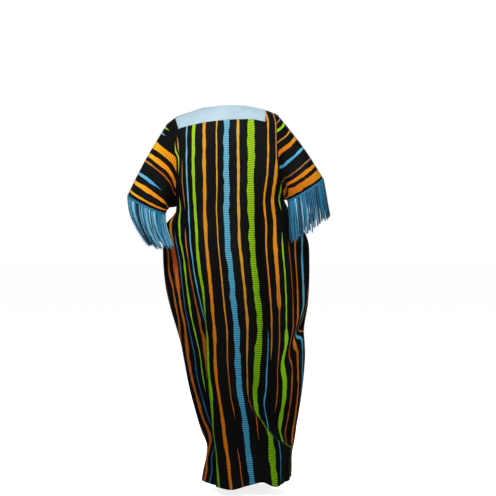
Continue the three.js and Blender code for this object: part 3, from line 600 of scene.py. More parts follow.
def sleeve_grid(side, ring):
    """Threads from the armhole to the oval cuff: cubic curves that leave the shoulder outwards and down
    and meet the cuff along the arm, pushed out by the sleeve's folds."""
    sleeve = SLEEVES[side]
    low, high = np.array(sleeve["low"], float), np.array(sleeve["high"], float)
    turn = np.arange(len(ring)) * 360 / len(ring)
    angle = np.radians(turn)
    middle, half = (low + high) / 2, (high - low) / 2
    cuff = np.stack([
        middle[0] + half[0] * np.cos(angle),
        sleeve["y"] + sleeve["reach"] * np.sin(angle),
        middle[1] + half[1] * np.cos(angle) - sleeve["sag"] * np.sin(angle),
    ], axis=-1)
    span = np.linalg.norm(cuff - ring, axis=1, keepdims=True)
    fall = lerp(0.35, sleeve["fall"], smoothstep(np.abs(turn - 180), 0, 100))
    outwards = np.full_like(turn, OUT[side])
    leave = unit(np.stack([outwards, np.full_like(turn, 0.25), -fall], axis=-1)) * span * 0.8
    meet = arm_direction(sleeve) * span * 0.9
    t = np.linspace(0, 1, SLEEVE_STEPS + 1)[:, None, None]
    grid = (
        ring * (2 * t**3 - 3 * t**2 + 1)
        + leave * (t**3 - 2 * t**2 + t)
        + cuff * (3 * t**2 - 2 * t**3)
        + meet * (t**3 - t**2)
    )
    smooth = grid_normals(grid, side == "left", True)
    t = t[..., 0]
    push = np.zeros(grid.shape[:2])
    for middle_turn, width, depth, start, end in sleeve["folds"] + sleeve["creases"]:
        away = (turn[None, :] - middle_turn) / width
        fade = smoothstep(t, start, start + 0.4) * (1 - smoothstep(t, end - 0.35, end))
        push += depth * np.exp(-away * away) * fade
    return grid + smooth * push[..., None]


def sleeve_normals(side, grid):
    """The grid's directions, and square ones at the cuff, so that the fringe carries on from it."""
    normals = grid_normals(grid, side == "left", True)
    cuff = grid[-1]
    way = np.roll(cuff, -1, axis=0) - np.roll(cuff, 1, axis=0)
    square = unit(np.cross(way, arm_direction(SLEEVES[side])))
    normals[-1] = square * -OUT[side]
    return normals


def share_armhole(side, column):
    """Gives both sides of an armhole seam the same wall direction, and moves the sleeve's edge clear."""
    shared = unit(armhole_ring(panel_directions, column) + sleeve_directions[side][0])
    for _ in range(6):
        shared = unit(2 * shared + np.roll(shared, 1, axis=0) + np.roll(shared, -1, axis=0))
    count = CHEST_STEPS + BAND_STEPS + 1
    shared[[0, count - 1], 1] = 0
    shared = unit(shared)
    panel_directions["back"][: SKIRT_STEPS - 1 : -1, column] = shared[:count]
    panel_directions["front"][: SKIRT_STEPS - 1 : -1, column] = np.roll(shared[::-1], 1, axis=0)[:count]
    sleeve_directions[side][0] = shared
    ring = sleeves[side][0]
    clear = unit(np.cross(np.roll(ring, -1, axis=0) - np.roll(ring, 1, axis=0), shared))
    clear *= np.where(clear[:, :1] * OUT[side] < 0, -1, 1)
    sleeves[side][0] = ring + clear * SEAM


panels = {panel: panel_grid(panel) for panel in SIGN}
panel_directions = {panel: panel_normals(panel, panels[panel]) for panel in SIGN}
sleeves = {side: sleeve_grid(side, armhole_ring(panels, column)) for side, column in EDGE.items()}
sleeve_directions = {side: sleeve_normals(side, sleeves[side]) for side in EDGE}
for side, column in EDGE.items():
    share_armhole(side, column)


# ---- Meshes ----
def shell(outer, normals, thickness, uv, closed=False):
    """Closed wall between a grid and its copy moved inwards. uv has one column more than a closed grid,
    so that the pattern does not run back across the joining cells. Returns points, faces, uv by corner
    and which points are on the inside."""
    inner = outer - normals * thickness
    height, width = outer.shape[:2]
    cells = width if closed else width - 1
    uv_width = uv.shape[1]
    r, c = np.meshgrid(np.arange(height - 1), np.arange(cells), indexing="ij")
    r, c = r.ravel(), c.ravel()

    def corner(layer, row, column):
        """Numbers of a point and of its place in uv."""
        return np.stack([layer * height * width + row * width + column % width, row * uv_width + column])

    def quads(layers, rows, columns):
        """Faces whose four corners lie at the given layers, rows and columns."""
        return np.stack([corner(*place) for place in zip(layers, rows, columns)], axis=-1)

    made = [
        quads((0, 0, 0, 0), (r, r, r + 1, r + 1), (c, c + 1, c + 1, c)),
        quads((1, 1, 1, 1), (r, r + 1, r + 1, r), (c, c, c + 1, c + 1)),
    ]
    n = np.arange(cells)
    low, top = np.zeros(cells, int), np.full(cells, height - 1)
    made.append(quads((0, 1, 1, 0), (low,) * 4, (n, n, n + 1, n + 1)))
    made.append(quads((0, 0, 1, 1), (top,) * 4, (n, n + 1, n + 1, n)))
    if not closed:
        n = np.arange(height - 1)
        left, right = np.zeros(height - 1, int), np.full(height - 1, width - 1)
        made.append(quads((0, 0, 1, 1), (n, n + 1, n + 1, n), (left,) * 4))
        made.append(quads((0, 1, 1, 0), (n, n, n + 1, n + 1), (right,) * 4))
    both = np.concatenate(made, axis=1)
    points = np.concatenate([outer.reshape(-1, 3), inner.reshape(-1, 3)])
    faces, places = both[0], both[1]
    # Where the volume inside the faces comes out negative, they point inwards.
    a, b, d, e = (points[faces[:, i]] for i in range(4))
    if (a * np.cross(b, d) + a * np.cross(d, e)).sum() < 0:
        faces, places = faces[:, ::-1], places[:, ::-1]
    wrong_side = np.repeat([0.0, 1.0], height * width)
    return points, faces, uv.reshape(-1, 2)[places], wrong_side


def tubes(paths, radii, shades):
    """Closed tubes of yarn along many paths at once: each ring is a small square across the path, and
    both ends are capped. Each tube has its own shade."""
    sides = 4
    count, steps = paths.shape[:2]
    n = np.arange(steps)
    way = unit(paths[:, np.minimum(n + 1, steps - 1)] - paths[:, np.maximum(n - 1, 0)])
    guide = np.where(np.abs(way[:, :1, 2:3]) > 0.7, [[[1.0, 0.3, 0.0]]], [[[0.0, 0.0, 1.0]]])
    first = unit(np.cross(way, guide))
    second = np.cross(way, first)
    angle = 2 * np.pi * np.arange(sides) / sides
    spread = first[:, :, None] * np.cos(angle)[:, None] + second[:, :, None] * np.sin(angle)[:, None]
    points = (paths[:, :, None] + spread * radii[..., None, None]).reshape(-1, 3)
    base = (np.arange(count) * steps * sides)[:, None, None]
    row = (np.arange(steps - 1) * sides)[None, :, None]
    s = np.arange(sides)[None, None, :]
    t = (s + 1) % sides
    corners = (base + row + s, base + row + sides + s, base + row + sides + t, base + row + t)
    walls = np.stack(np.broadcast_arrays(*corners), axis=-1).reshape(-1, 4)
    ends = np.arange(count)[:, None] * steps * sides + np.arange(sides)[None, :]
    tips = ends[:, ::-1] + (steps - 1) * sides
    faces = np.concatenate([walls, ends, tips])
    run = lengths(paths, 1)
    uv = np.stack(np.broadcast_arrays(angle[None, None, :] / (2 * np.pi), run[:, :, None]), axis=-1)
    a, b, d = (points[walls[:, i]] for i in range(3))
    outwards = np.cross(b - a, d - a) * (a - np.repeat(paths[:, :-1], sides, axis=1).reshape(-1, 3))
    if outwards.sum() < 0:
        faces = faces[:, ::-1]
    return points, faces, uv.reshape(-1, 2)[faces], np.repeat(shades, steps * sides)


def piece(name, material, *patches, attribute="wrong_side", smooth=50):
    """One mesh object of several patches, in metres, with its pattern in a UV map and one attribute."""
    start, points, faces, uvs, values = 0, [], [], [], []
    for p, f, u, v in patches:
        points.append(p)
        faces.append(f + start)
        uvs.append(u.reshape(-1, 2))
        values.append(v)
        start += len(p)
    mesh = bpy.data.meshes.new(name)
    mesh.from_pydata(np.concatenate(points) * MM, [], np.concatenate(faces).tolist())
    mesh.uv_layers.new(name="cloth").data.foreach_set("uv", (np.concatenate(uvs) * MM).ravel())
    layer = mesh.attributes.new(attribute, "FLOAT", "POINT")
    layer.data.foreach_set("value", np.concatenate(values))
    mesh.polygons.foreach_set("use_smooth", np.ones(len(mesh.polygons), bool))
    mesh.set_sharp_from_angle(angle=math.radians(smooth))
    mesh.materials.append(material)
    mesh.update()
    made = bpy.data.objects.new(name, mesh)
    bpy.context.scene.collection.objects.link(made)
    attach(made, "root")
    return made


# ---- Where the pattern lies ----
# The drag fold lies over the cloth below it along this line. cover: how much cloth it hides there.
# reach: how far above the line its pull on the stripes dies out.
DRAG_LINE = table(
    "across z cover reach",
    (78, -1040, 0, 380), (102, -1114, 26, 380), (126, -1155, 40, 390), (160, -1200, 48, 450),
    (196, -1245, 58, 520), (250, -1290, 62, 600),
)
# How much longer the wall is than the cloth shown on it, by drop: on the flap, where the tuck's far side
# comes out and on the outer side. The tuck takes cloth in from start to back.
LEFT_SLACK = table(
    "drop near far outer start back",
    (60, 0, 22, 0, 170, 195), (120, 1, 12, 0, 170, 195), (165, 1, 9, 0, 170, 195),
    (197, 2, -9, 0, 170, 195),
    (320, 0, 0, 0, 170, 195), (430, -6, 1, 0, 170, 195), (540, -5, 2, -2, 170, 195),
    (614, -5, 8, 12, 170, 195),
    (690, -8, 10, 2, 170, 200), (800, -4, 15, 4, 165, 205), (865, -6, 19, 20, 128, 208),
    (942, -9, 24, 33, 128, 195), (1020, -9, 40, 42, 128, 208), (1098, -4, 46, 44, 130, 224),
    (1176, 6, 36, 38, 137, 232), (1250, 14, 24, 24, 142, 238), (1320, 15, 52, 50, 145, 250),
    (1350, 15, 58, 54, 148, 250), (1390, 12, 37, 37, 148, 240), (1430, 12, 22, 22, 160, 220),
)
# Two short sideways bends of the back's stripes: near the right side seam, along a slanting line, and
# beside the right armhole. above, below and half are half-heights.
SIDE_BEND = {"z": -923, "across": 247, "slope": 2, "above": 26, "below": 52}
ARM_BEND = {"z": -345, "half": 75, "push": 11}


def panel_uv(panel, grid):
    """u is the distance from the grain line along the row's cloth. v is the distance below the underarm
    level. The tucks move u where they hide cloth."""
    middle = len(COLUMNS) // 2
    run = lengths(grid, 1)
    u = run - run[:, middle : middle + 1]
    down = lengths(grid, 0)
    v = down[SKIRT_STEPS] - down
    if panel == "back":
        x, z = grid[..., 0], grid[..., 2]
        near, far, outer, start, back = (
            along(LEFT_SLACK, "drop", name, -z) for name in ("near", "far", "outer", "start", "back"))
        slack = near * smoothstep(u, 88, 112) + (far - near) * np.clip((u - start) / (back - start), 0, 1)
        u = u - slack - (outer - far) * smoothstep(u, 235, 275)
        level, cover, reach = (along(DRAG_LINE, "across", name, -x) for name in ("z", "cover", "reach"))
        above = z - level
        pull = cover * (1 - smoothstep(above, 0, reach)) * (-x > DRAG_LINE["across"][0])
        away = z - SIDE_BEND["z"] - SIDE_BEND["slope"] * (-x - SIDE_BEND["across"])
        bend = lerp(11, 35, smoothstep(-x, 235, 285)) * smoothstep(-x, 195, 225)
        half = np.where(away > 0, SIDE_BEND["above"], SIDE_BEND["below"])
        pull = pull + bend * np.exp(-((away / half) ** 2))
        beside = smoothstep(-x, 120, 150) * (1 - smoothstep(-x, 200, 230))
        away = (z - ARM_BEND["z"]) / ARM_BEND["half"]
        pull = pull + ARM_BEND["push"] * np.exp(-(away**2)) * beside
        u = u - np.where(above > 0, pull, 0)
    return np.stack([u, v], axis=-1)


def sleeve_uv(side, grid):
    """u is the distance from the cuff along the threads, longer where the cloth is gathered. v is the
    distance round the arm."""
    turn = np.arange(grid.shape[1]) * 360 / grid.shape[1]
    down = lengths(grid, 0)
    u = (down[-1] - down) * along(GATHER[side], "turn", "by", turn)
    u = np.concatenate([u, u[:, :1]], axis=1)
    v = np.broadcast_to(lengths(around(grid[-1]), 1), u.shape)
    return np.stack([u, v], axis=-1)


# ---- Materials ----
def linear(name):
    """A named dye as linear colour."""
    c = np.array(DYES[name]) / 255
    c = np.where(c > 0.04045, ((c + 0.055) / 1.055) ** 2.4, c / 12.92)
    return (*c, 1.0)


def feed(tree, socket, value):
    """Links an output to a socket, or sets the socket's own value."""
    if isinstance(value, bpy.types.NodeSocket):
        tree.links.new(value, socket)
    elif value is not None:
        socket.default_value = value


def calc(tree, operation, *values):
    """A Math node."""
    node = tree.nodes.new("ShaderNodeMath")
    node.operation = operation
    for socket, value in zip(node.inputs, values):
        feed(tree, socket, value)
    return node.outputs[0]


def ramp(tree, value, low, high, to_low=0.0, to_high=1.0):
    """A smooth step from to_low at low to to_high at high."""
    node = tree.nodes.new("ShaderNodeMapRange")
    node.interpolation_type = "SMOOTHSTEP"
    for socket, v in zip(node.inputs, (value, low, high, to_low, to_high)):
        feed(tree, socket, v)
    return node.outputs[0]


def mix(tree, factor, a, b):
    """A colour Mix node."""
    node = tree.nodes.new("ShaderNodeMix")
    node.data_type = "RGBA"
    feed(tree, node.inputs[0], factor)
    feed(tree, node.inputs[6], a)
    feed(tree, node.inputs[7], b)
    return node.outputs[2]


def noise(tree, place, run, by_place, by_run, detail=2.0, layer=0.0):
    """A Noise Texture's value, from 0 to 1 around 0.5, on the cloth's two axes, each first multiplied by
    its own number. Another layer gives another noise."""
    vector = tree.nodes.new("ShaderNodeCombineXYZ")
    scaled = calc(tree, "MULTIPLY", place, by_place), calc(tree, "MULTIPLY", run, by_run), layer
    for socket, value in zip(vector.inputs, scaled):
        feed(tree, socket, value)
    node = tree.nodes.new("ShaderNodeTexNoise")
    for label, value in (("Vector", vector.outputs[0]), ("Scale", 1.0), ("Detail", detail)):
        feed(tree, node.inputs[label], value)
    return node.outputs[0]


def group(name, inputs, outputs):
    """An empty shader node group with named sockets. Returns its tree, its inputs' sockets by name and
    its output node."""
    tree = bpy.data.node_groups.new(name, "ShaderNodeTree")
    kinds = {"value": "NodeSocketFloat", "colour": "NodeSocketColor", "vector": "NodeSocketVector"}
    for label, kind in inputs:
        tree.interface.new_socket(label, in_out="INPUT", socket_type=kinds[kind])
    for label, kind in outputs:
        tree.interface.new_socket(label, in_out="OUTPUT", socket_type=kinds[kind])
    start, end = tree.nodes.new("NodeGroupInput"), tree.nodes.new("NodeGroupOutput")
    return tree, {s.name: s for s in start.outputs if s.name}, end


def use(tree, made, **values):
    """Places a group in a material with its own values, and returns its outputs by name."""
    node = tree.nodes.new("ShaderNodeGroup")
    node.node_tree = made
    for label, value in values.items():
        feed(tree, node.inputs[label.replace("_", " ")], value)
    return {s.name: s for s in node.outputs}


def wander_group():
    """Place across the stripes, moved by slow and fine noise, so that woven edges wander and fray."""
    tree, given, out = group(
        "stripe_wander",
        [("Place", "value"), ("Run", "value"), ("Wander", "value"), ("Fray", "value")],
        [("Place", "value"), ("Swell", "value")],
    )
    slow = noise(tree, given["Place"], given["Run"], 9.0, 6.0, 3.0)
    fine = noise(tree, given["Place"], given["Run"], 60.0, 130.0, layer=3.0)
    swell = noise(tree, given["Place"], given["Run"], 22.0, 17.0, layer=7.0)
    moved = calc(tree, "MULTIPLY_ADD", calc(tree, "SUBTRACT", slow, 0.5), given["Wander"], given["Place"])
    moved = calc(tree, "MULTIPLY_ADD", calc(tree, "SUBTRACT", fine, 0.5), given["Fray"], moved)
    tree.links.new(moved, out.inputs["Place"])
    tree.links.new(calc(tree, "MULTIPLY_ADD", swell, 1.5, 0.25), out.inputs["Swell"])
    return tree


def stripe_group():
    """One woven stripe over the colours under it: full within the half-width of its centre between its
    start and end, crossed by darker ribs one pitch apart."""
    tree, given, out = group(
        "woven_stripe",
        [("Under", "colour"), ("Place", "value"), ("Run", "value"), ("Swell", "value"),
         ("Centre", "value"), ("Half width", "value"), ("Dye", "colour"), ("Start", "value"),
         ("End", "value"), ("Rib", "value"), ("Rib pitch", "value")],
        [("Cloth", "colour")],
    )
    away = calc(tree, "ABSOLUTE", calc(tree, "SUBTRACT", given["Place"], given["Centre"]))
    half = calc(tree, "MULTIPLY", given["Half width"], given["Swell"])
    edge = calc(tree, "SUBTRACT", half, away)
    inside = ramp(tree, edge, -STRIPE_FRAY, STRIPE_FRAY)
    begun = ramp(tree, calc(tree, "SUBTRACT", given["Run"], given["Start"]), -STRIPE_TAPER, STRIPE_TAPER)
    gone = ramp(tree, calc(tree, "SUBTRACT", given["End"], given["Run"]), -STRIPE_TAPER, STRIPE_TAPER)
    length = calc(tree, "MULTIPLY", begun, gone)
    taper = calc(tree, "MULTIPLY", half, calc(tree, "SUBTRACT", 1.0, length))
    pointed = ramp(tree, calc(tree, "SUBTRACT", edge, taper), -STRIPE_FRAY, STRIPE_FRAY)
    width = calc(tree, "MULTIPLY", calc(tree, "MULTIPLY", inside, pointed), ramp(tree, length, 0.0, 0.15))
    slant = calc(tree, "MULTIPLY_ADD", given["Place"], 0.05, given["Run"])
    rise = calc(tree, "PINGPONG", slant, calc(tree, "MULTIPLY", given["Rib pitch"], 0.5))
    share = calc(tree, "DIVIDE", rise, given["Rib pitch"])
    rib = calc(tree, "MULTIPLY", ramp(tree, share, 0.1, 0.3, 1.0, 0.0), given["Rib"])
    dyed = mix(tree, rib, given["Dye"], linear("ground"))
    tree.links.new(mix(tree, width, given["Under"], dyed), out.inputs["Cloth"])
    return tree


def weave_group():
    """Height of a plain weave: threads both ways, over and under each other, with slubs."""
    tree, given, out = group(
        "plain_weave", [("Place", "value"), ("Run", "value"), ("Thread", "value")], [("Height", "value")],
    )

    def threads(across, along_it):
        """Rounded threads, |cos(2 pi across / pitch)|, whose height swings by a quarter along them."""
        phase = calc(tree, "DIVIDE", calc(tree, "MULTIPLY", across, 2 * math.pi), given["Thread"])
        over = calc(tree, "DIVIDE", calc(tree, "MULTIPLY", along_it, math.pi), given["Thread"])
        return calc(tree, "MULTIPLY", calc(tree, "ABSOLUTE", calc(tree, "COSINE", phase)),
                    calc(tree, "MULTIPLY_ADD", calc(tree, "COSINE", over), 0.25, 0.75))

    both = calc(tree, "ADD", threads(given["Place"], given["Run"]), threads(given["Run"], given["Place"]))
    slub = noise(tree, given["Place"], given["Run"], 300.0, 40.0)
    tree.links.new(calc(tree, "MULTIPLY_ADD", slub, 1.2, both), out.inputs["Height"])
    return tree


WANDER, STRIPE, WEAVE = wander_group(), stripe_group(), weave_group()


def material(name):
    """A new node material: its tree and its Principled shader."""
    made = bpy.data.materials.new(name)
    made.use_nodes = True
    return made, made.node_tree, made.node_tree.nodes["Principled BSDF"]


def pattern_axes(tree):
    """The two axes of the piece's own UV map."""
    where = tree.nodes.new("ShaderNodeUVMap")
    where.uv_map = "cloth"
    parts = tree.nodes.new("ShaderNodeSeparateXYZ")
    tree.links.new(where.outputs[0], parts.inputs[0])
    return parts.outputs[0], parts.outputs[1]


def attribute(tree, name):
    """A point attribute's value."""
    node = tree.nodes.new("ShaderNodeAttribute")
    node.attribute_name = name
    return node.outputs["Fac"]


def bump(tree, shader, height, strength, distance):
    """Feeds a height to the shader's normal."""
    node = tree.nodes.new("ShaderNodeBump")
    node.inputs["Strength"].default_value = strength
    node.inputs["Distance"].default_value = distance
    feed(tree, node.inputs["Height"], height)
    tree.links.new(node.outputs[0], shader.inputs["Normal"])


def striped_cloth(name, stripes, rib_pitch, depth, fold=None):
    """Black cotton with woven stripes. depth: the two places along the stripes between which the colours
    darken, and how much: painted shade, and on the body partly the dyes' own deepening too. Where there
    is a fold, that way runs back from it, so that a sleeve darkens round towards its underarm. The wrong
    side is duller."""
    made, tree, shader = material(name)
    place, run = pattern_axes(tree)
    moved = use(tree, WANDER, Place=place, Run=run, Wander=0.01, Fray=0.0014)
    cloud = noise(tree, place, run, 7.0, 3.0, 3.0)
    under = mix(tree, ramp(tree, cloud, 0.35, 0.7), linear("ground"), DEEP_GROUND)
    for centre, half, dye, (start, end), rib in stripes:
        under = use(tree, STRIPE, Under=under, Place=moved["Place"], Run=run, Swell=moved["Swell"],
                    Centre=centre * MM, Half_width=half * MM, Dye=linear(dye), Start=start * MM,
                    End=end * MM, Rib=rib, Rib_pitch=rib_pitch)["Cloth"]
    # Painted shade: the colours darken along the run by the depth ramp, down the body and round a sleeve.
    deep = tree.nodes.new("ShaderNodeGamma")
    tree.links.new(under, deep.inputs[0])
    way = calc(tree, "PINGPONG", run, fold) if fold else run
    tree.links.new(ramp(tree, way, depth[0], depth[1], *depth[2:]), deep.inputs[1])
    wrong = mix(tree, 0.55, deep.outputs[0], WRONG_SIDE)
    tree.links.new(mix(tree, attribute(tree, "wrong_side"), deep.outputs[0], wrong),
                   shader.inputs["Base Color"])
    tree.links.new(ramp(tree, cloud, 0.2, 0.8, 0.66, 0.82), shader.inputs["Roughness"])
    shader.inputs["Specular IOR Level"].default_value = 0.12
    shader.inputs["Sheen Weight"].default_value = 0.015
    shader.inputs["Sheen Roughness"].default_value = 0.4
    height = use(tree, WEAVE, Place=place, Run=run, Thread=0.0011)["Height"]
    bump(tree, shader, height, 0.35, 0.00025)
    return made


def plain_cloth(name, dye):
    """Smooth plain cotton in one dye, a little uneven."""
    made, tree, shader = material(name)
    place, run = pattern_axes(tree)
    cloud = noise(tree, place, run, 12.0, 12.0, 3.0)
    base = np.array(linear(dye)[:3])
    tree.links.new(mix(tree, ramp(tree, cloud, 0.3, 0.7), (*base, 1), (*(base * 0.88), 1)),
                   shader.inputs["Base Color"])
    tree.links.new(ramp(tree, cloud, 0.2, 0.8, 0.62, 0.78), shader.inputs["Roughness"])
    shader.inputs["Sheen Weight"].default_value = 0.15
    height = use(tree, WEAVE, Place=place, Run=run, Thread=0.0009)["Height"]
    bump(tree, shader, height, 0.3, 0.0002)
    return made


def yarn(name, pale, middle, deep, twist=0.004):
    """Soft twisted yarn: the strand's own shade between a deep and a pale dye, with the ply's twist. On
    the fringe the shade is partly the yarn's own tone and partly painted light: painted highlights at the
    pale end, painted shade between locks at the deep end.
    """
    made, tree, shader = material(name)
    side, run = pattern_axes(tree)
    shade = attribute(tree, "shade")
    colour = mix(tree, ramp(tree, shade, 0.0, 0.55), linear(deep), linear(middle))
    colour = mix(tree, ramp(tree, shade, 0.6, 1.0), colour, linear(pale))
    tree.links.new(colour, shader.inputs["Base Color"])
    shader.inputs["Roughness"].default_value = 0.5
    shader.inputs["Specular IOR Level"].default_value = 0.35
    shader.inputs["Sheen Weight"].default_value = 0.08
    turn = calc(tree, "MULTIPLY", calc(tree, "ADD", calc(tree, "DIVIDE", run, twist),
                                       calc(tree, "MULTIPLY", side, 1000.0)), 2 * math.pi)
    bump(tree, shader, calc(tree, "SINE", turn), 0.25, 0.0003)
    return made


# The body darkens towards the hem: partly the dyes' own deepening, partly painted shade where light falls
# off.
BODY_CLOTH = striped_cloth("striped_cotton_body", PANEL_STRIPES, 0.0068, (-0.3, 0.75, 1.0, 1.65))
# Painted light and shade: each sleeve is a little lighter on top and darker round towards its underarm.
SLEEVE_CLOTH = {
    "left": striped_cloth("striped_cotton_left_sleeve", SLEEVE_STRIPES["left"], 0.0058,
                          (0.0, 0.15, 0.85, 1.9), 0.2),
    "right": striped_cloth("striped_cotton_right_sleeve", SLEEVE_STRIPES["right"], 0.0058,
                           (0.0, 0.15, 1.1, 1.7), 0.2),
}
BAND_COTTON = plain_cloth("pale_blue_cotton", "band")
FRINGE_YARN = yarn("blue_fringe_yarn", "yarn_pale_and_highlight", "yarn", "yarn_deep_and_shade")
PALE_THREAD = yarn("pale_sewing_thread", "thread", "thread", "thread", 0.001)
DARK_THREAD = yarn("dark_sewing_thread", "dark_thread", "dark_thread", "dark_thread", 0.001)


# ---- Panels ----
def plain_uv(grid, closed=False):
    """Distances along the first row and up the first column."""
    if closed:
        grid = np.concatenate([grid, grid[:, :1]], axis=1)
    return np.stack(np.broadcast_arrays(lengths(grid, 1), lengths(grid, 0)), axis=-1)


for panel in SIGN:
    uv = panel_uv(panel, panels[panel])
    piece(
        f"{panel}_panel_cloth", BODY_CLOTH, shell(panels[panel], panel_directions[panel], SHELL, uv),
    )
    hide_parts(f"{panel}_panel")

# ---- Sleeves ----
for side in EDGE:
    uv = sleeve_uv(side, sleeves[side])
    piece(
        f"{side}_sleeve_cloth", SLEEVE_CLOTH[side],
        shell(sleeves[side], sleeve_directions[side], SHELL, uv, closed=True),
    )
    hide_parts(f"{side}_sleeve")


# ---- Neck band ----
def band_grid(panel):
    """The panel under the band, moved out, with extra rows and columns close to its turned edges."""
    close = np.array([0, 0.008, 0.025, 0.06])
    inner = np.linspace(0.1, 0.9, 21)
    rows = np.concatenate([close, inner, 1 - close[::-1]])
    columns = lerp(-BAND_COLUMN, BAND_COLUMN, np.concatenate(
        [close[:3] / 2, np.linspace(0.03, 0.97, 119), 1 - close[2::-1] / 2]))
    across = across_of(columns)[None, :]
    _, low_angle, top_angle = band_angles(panel, across)
    angle = lerp(low_angle, top_angle, rows[:, None])
    points = bodice_point(panel, across, np.abs(across), curve_rise(angle))
    points[..., 1] += SIGN[panel] * SEAM / 2
    directions = band_normals(panel, across, angle)
    directions[-1, np.abs(columns) >= NECK_COLUMN, 1] = 0
    directions = unit(directions)
    low, side = lengths(points, 0), lengths(points, 1)
    from_edge = np.minimum(low, np.minimum(side, side[:, -1:] - side))
    crown = BAND_CLOTH * (0.45 + 0.55 * (1 - np.exp(-from_edge / 0.8)))
    return points, directions, crown, columns


def neck_edge(points, directions, columns):
    """The band's edge at the neck, turned over: an arc from its face to the inside of the panel, which
    lies radius x sin outwards and NECK_TURN x cos upwards, and a tail down behind the panel."""
    in_neck = np.abs(columns) <= NECK_COLUMN
    edge, facing = points[-1, in_neck], directions[-1, in_neck]
    up = unit(points[-1, in_neck] - points[-2, in_neck])
    up = unit(up - facing * (up * facing).sum(axis=1, keepdims=True))
    angle = np.linspace(np.pi / 2, -np.pi / 2, 9)[:, None, None]
    high, deep = BAND_LIFT + BAND_CLOTH, SHELL + NECK_TURN
    middle, radius = (high - deep) / 2, (high + deep) / 2
    arc = edge + facing * (middle + radius * np.sin(angle)) + up * (NECK_TURN * np.cos(angle) + 0.2)
    tail = arc[-1:] - up * np.array([6.0, 14.0])[:, None, None]
    turned = np.concatenate([arc, tail])
    turned_facing = grid_normals(turned, False)
    if (turned_facing[0] * facing).sum() < 0:
        turned_facing = -turned_facing
    return shell(turned, turned_facing, THIN_CLOTH, plain_uv(turned))


band_pieces, band_faces = {}, []
for panel in SIGN:
    points, directions, crown, columns = band_grid(panel)
    outer = points + directions * (BAND_LIFT + crown)[..., None]
    band_faces.append((outer, directions, columns))
    band_pieces[panel] = piece(
        f"{panel}_neck_band_cloth", BAND_COTTON,
        shell(outer, directions, crown[..., None], plain_uv(outer)),
        neck_edge(points, directions, columns),
    )
    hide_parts(f"{panel}_neck_band")


# ---- Fringe ----
# How much longer the yarn hangs than the solids' strands, as a share, and how far its outer tips swing
# in.
HANG = {"left": (-0.03, 15), "right": (0.05, 0)}
# Middle and spread of the strands' shades, from 0 for deep to 1 for pale: partly the yarn's own tone,
# # partly painted shade in deep locks and painted highlights on pale ones, which set the left fringe
# paler.
YARN_SHADE = {"left": (0.5, 0.36), "right": (0.28, 0.2)}
KNEE = 0.42  # share of its length at which a strand of the solids bends
STRAND_PLACE = np.arange(STRANDS) / STRANDS
LOCK = np.floor(STRAND_PLACE * LOCKS).astype(int)


def fringe_paths(side, roots, rng):
    """Strands from their roots to their tips. A strand falls by its length and moves sideways by
    tip x t^power. Neighbours gather into locks, whose tips differ a little in length and place."""
    tips = SLEEVES[side]["fringe"]
    angle = 2 * np.pi * STRAND_PLACE
    outwards = (1 + np.cos(angle)) / 2
    tip = lerp(np.array(tips["inner"], float), np.array(tips["outer"], float), outwards[:, None])
    longer, swing = HANG[side]
    length = -tip[:, 2] * (1 + longer + 0.035 * np.sin(5 * angle) + 0.03 * np.sin(13 * angle + 1))
    jog = rng.normal(0, 1, (LOCKS, 3))[LOCK]
    own = rng.normal(0, 1, roots.shape)
    length = length * (1 + 0.022 * jog[:, 2] + 0.022 * own[:, 2])
    tangent = unit(np.roll(roots, -3, axis=0) - np.roll(roots, 3, axis=0))
    spacing = lengths(around(roots), 1)[0, -1] / LOCKS
    in_lock = STRAND_PLACE * LOCKS - LOCK - 0.5
    gather = -tangent * (in_lock * spacing * 0.4)[:, None]
    t = np.linspace(0, 1, 12)[None, :, None]
    # Powers that bring a strand through the knee of the solids' strands.
    power = np.log([tips["bend"] * 0.35, tips["bend"] * 0.5]) / np.log(KNEE)
    x = tip[:, None, :1] * t ** power[0] - (swing * outwards**2)[:, None, None] * t**2
    y = tip[:, None, 1:2] * t ** power[1]
    z = -length[:, None, None] * t
    paths = roots[:, None] + np.concatenate([x, y, z], axis=2)
    paths = paths + gather[:, None] * t**0.8
    sway = jog[:, None] * 2.0 + own[:, None] * 1.1
    sway[..., 2] = 0
    wave = np.sin(t * (5 + 2 * own[:, None, :1]) + 3 * own[:, None, 1:2]) * 0.7
    paths = paths + sway * t**1.4
    paths[..., :1] += wave * t
    return paths


def woven_heading(side):
    """A short band that carries on from the cuff along the arm, a little swollen between its edges."""
    facing = sleeve_directions[side][-1]
    runs = np.array([SEAM, 1.5, 3, 4.5, 6, 7.5, SEAM + HEADING])[:, None, None]
    swell = 0.45 * np.array([0, 0.7, 1, 1, 1, 0.7, 0])[:, None, None]
    grid = sleeves[side][-1][None] + arm_direction(SLEEVES[side]) * runs + facing[None] * swell
    facing = np.broadcast_to(facing, grid.shape)
    points, faces, uv, _ = shell(grid, facing, HEADING_CLOTH, plain_uv(grid, True), closed=True)
    return points, faces, uv, np.full(len(points), HEADING_SHADE)


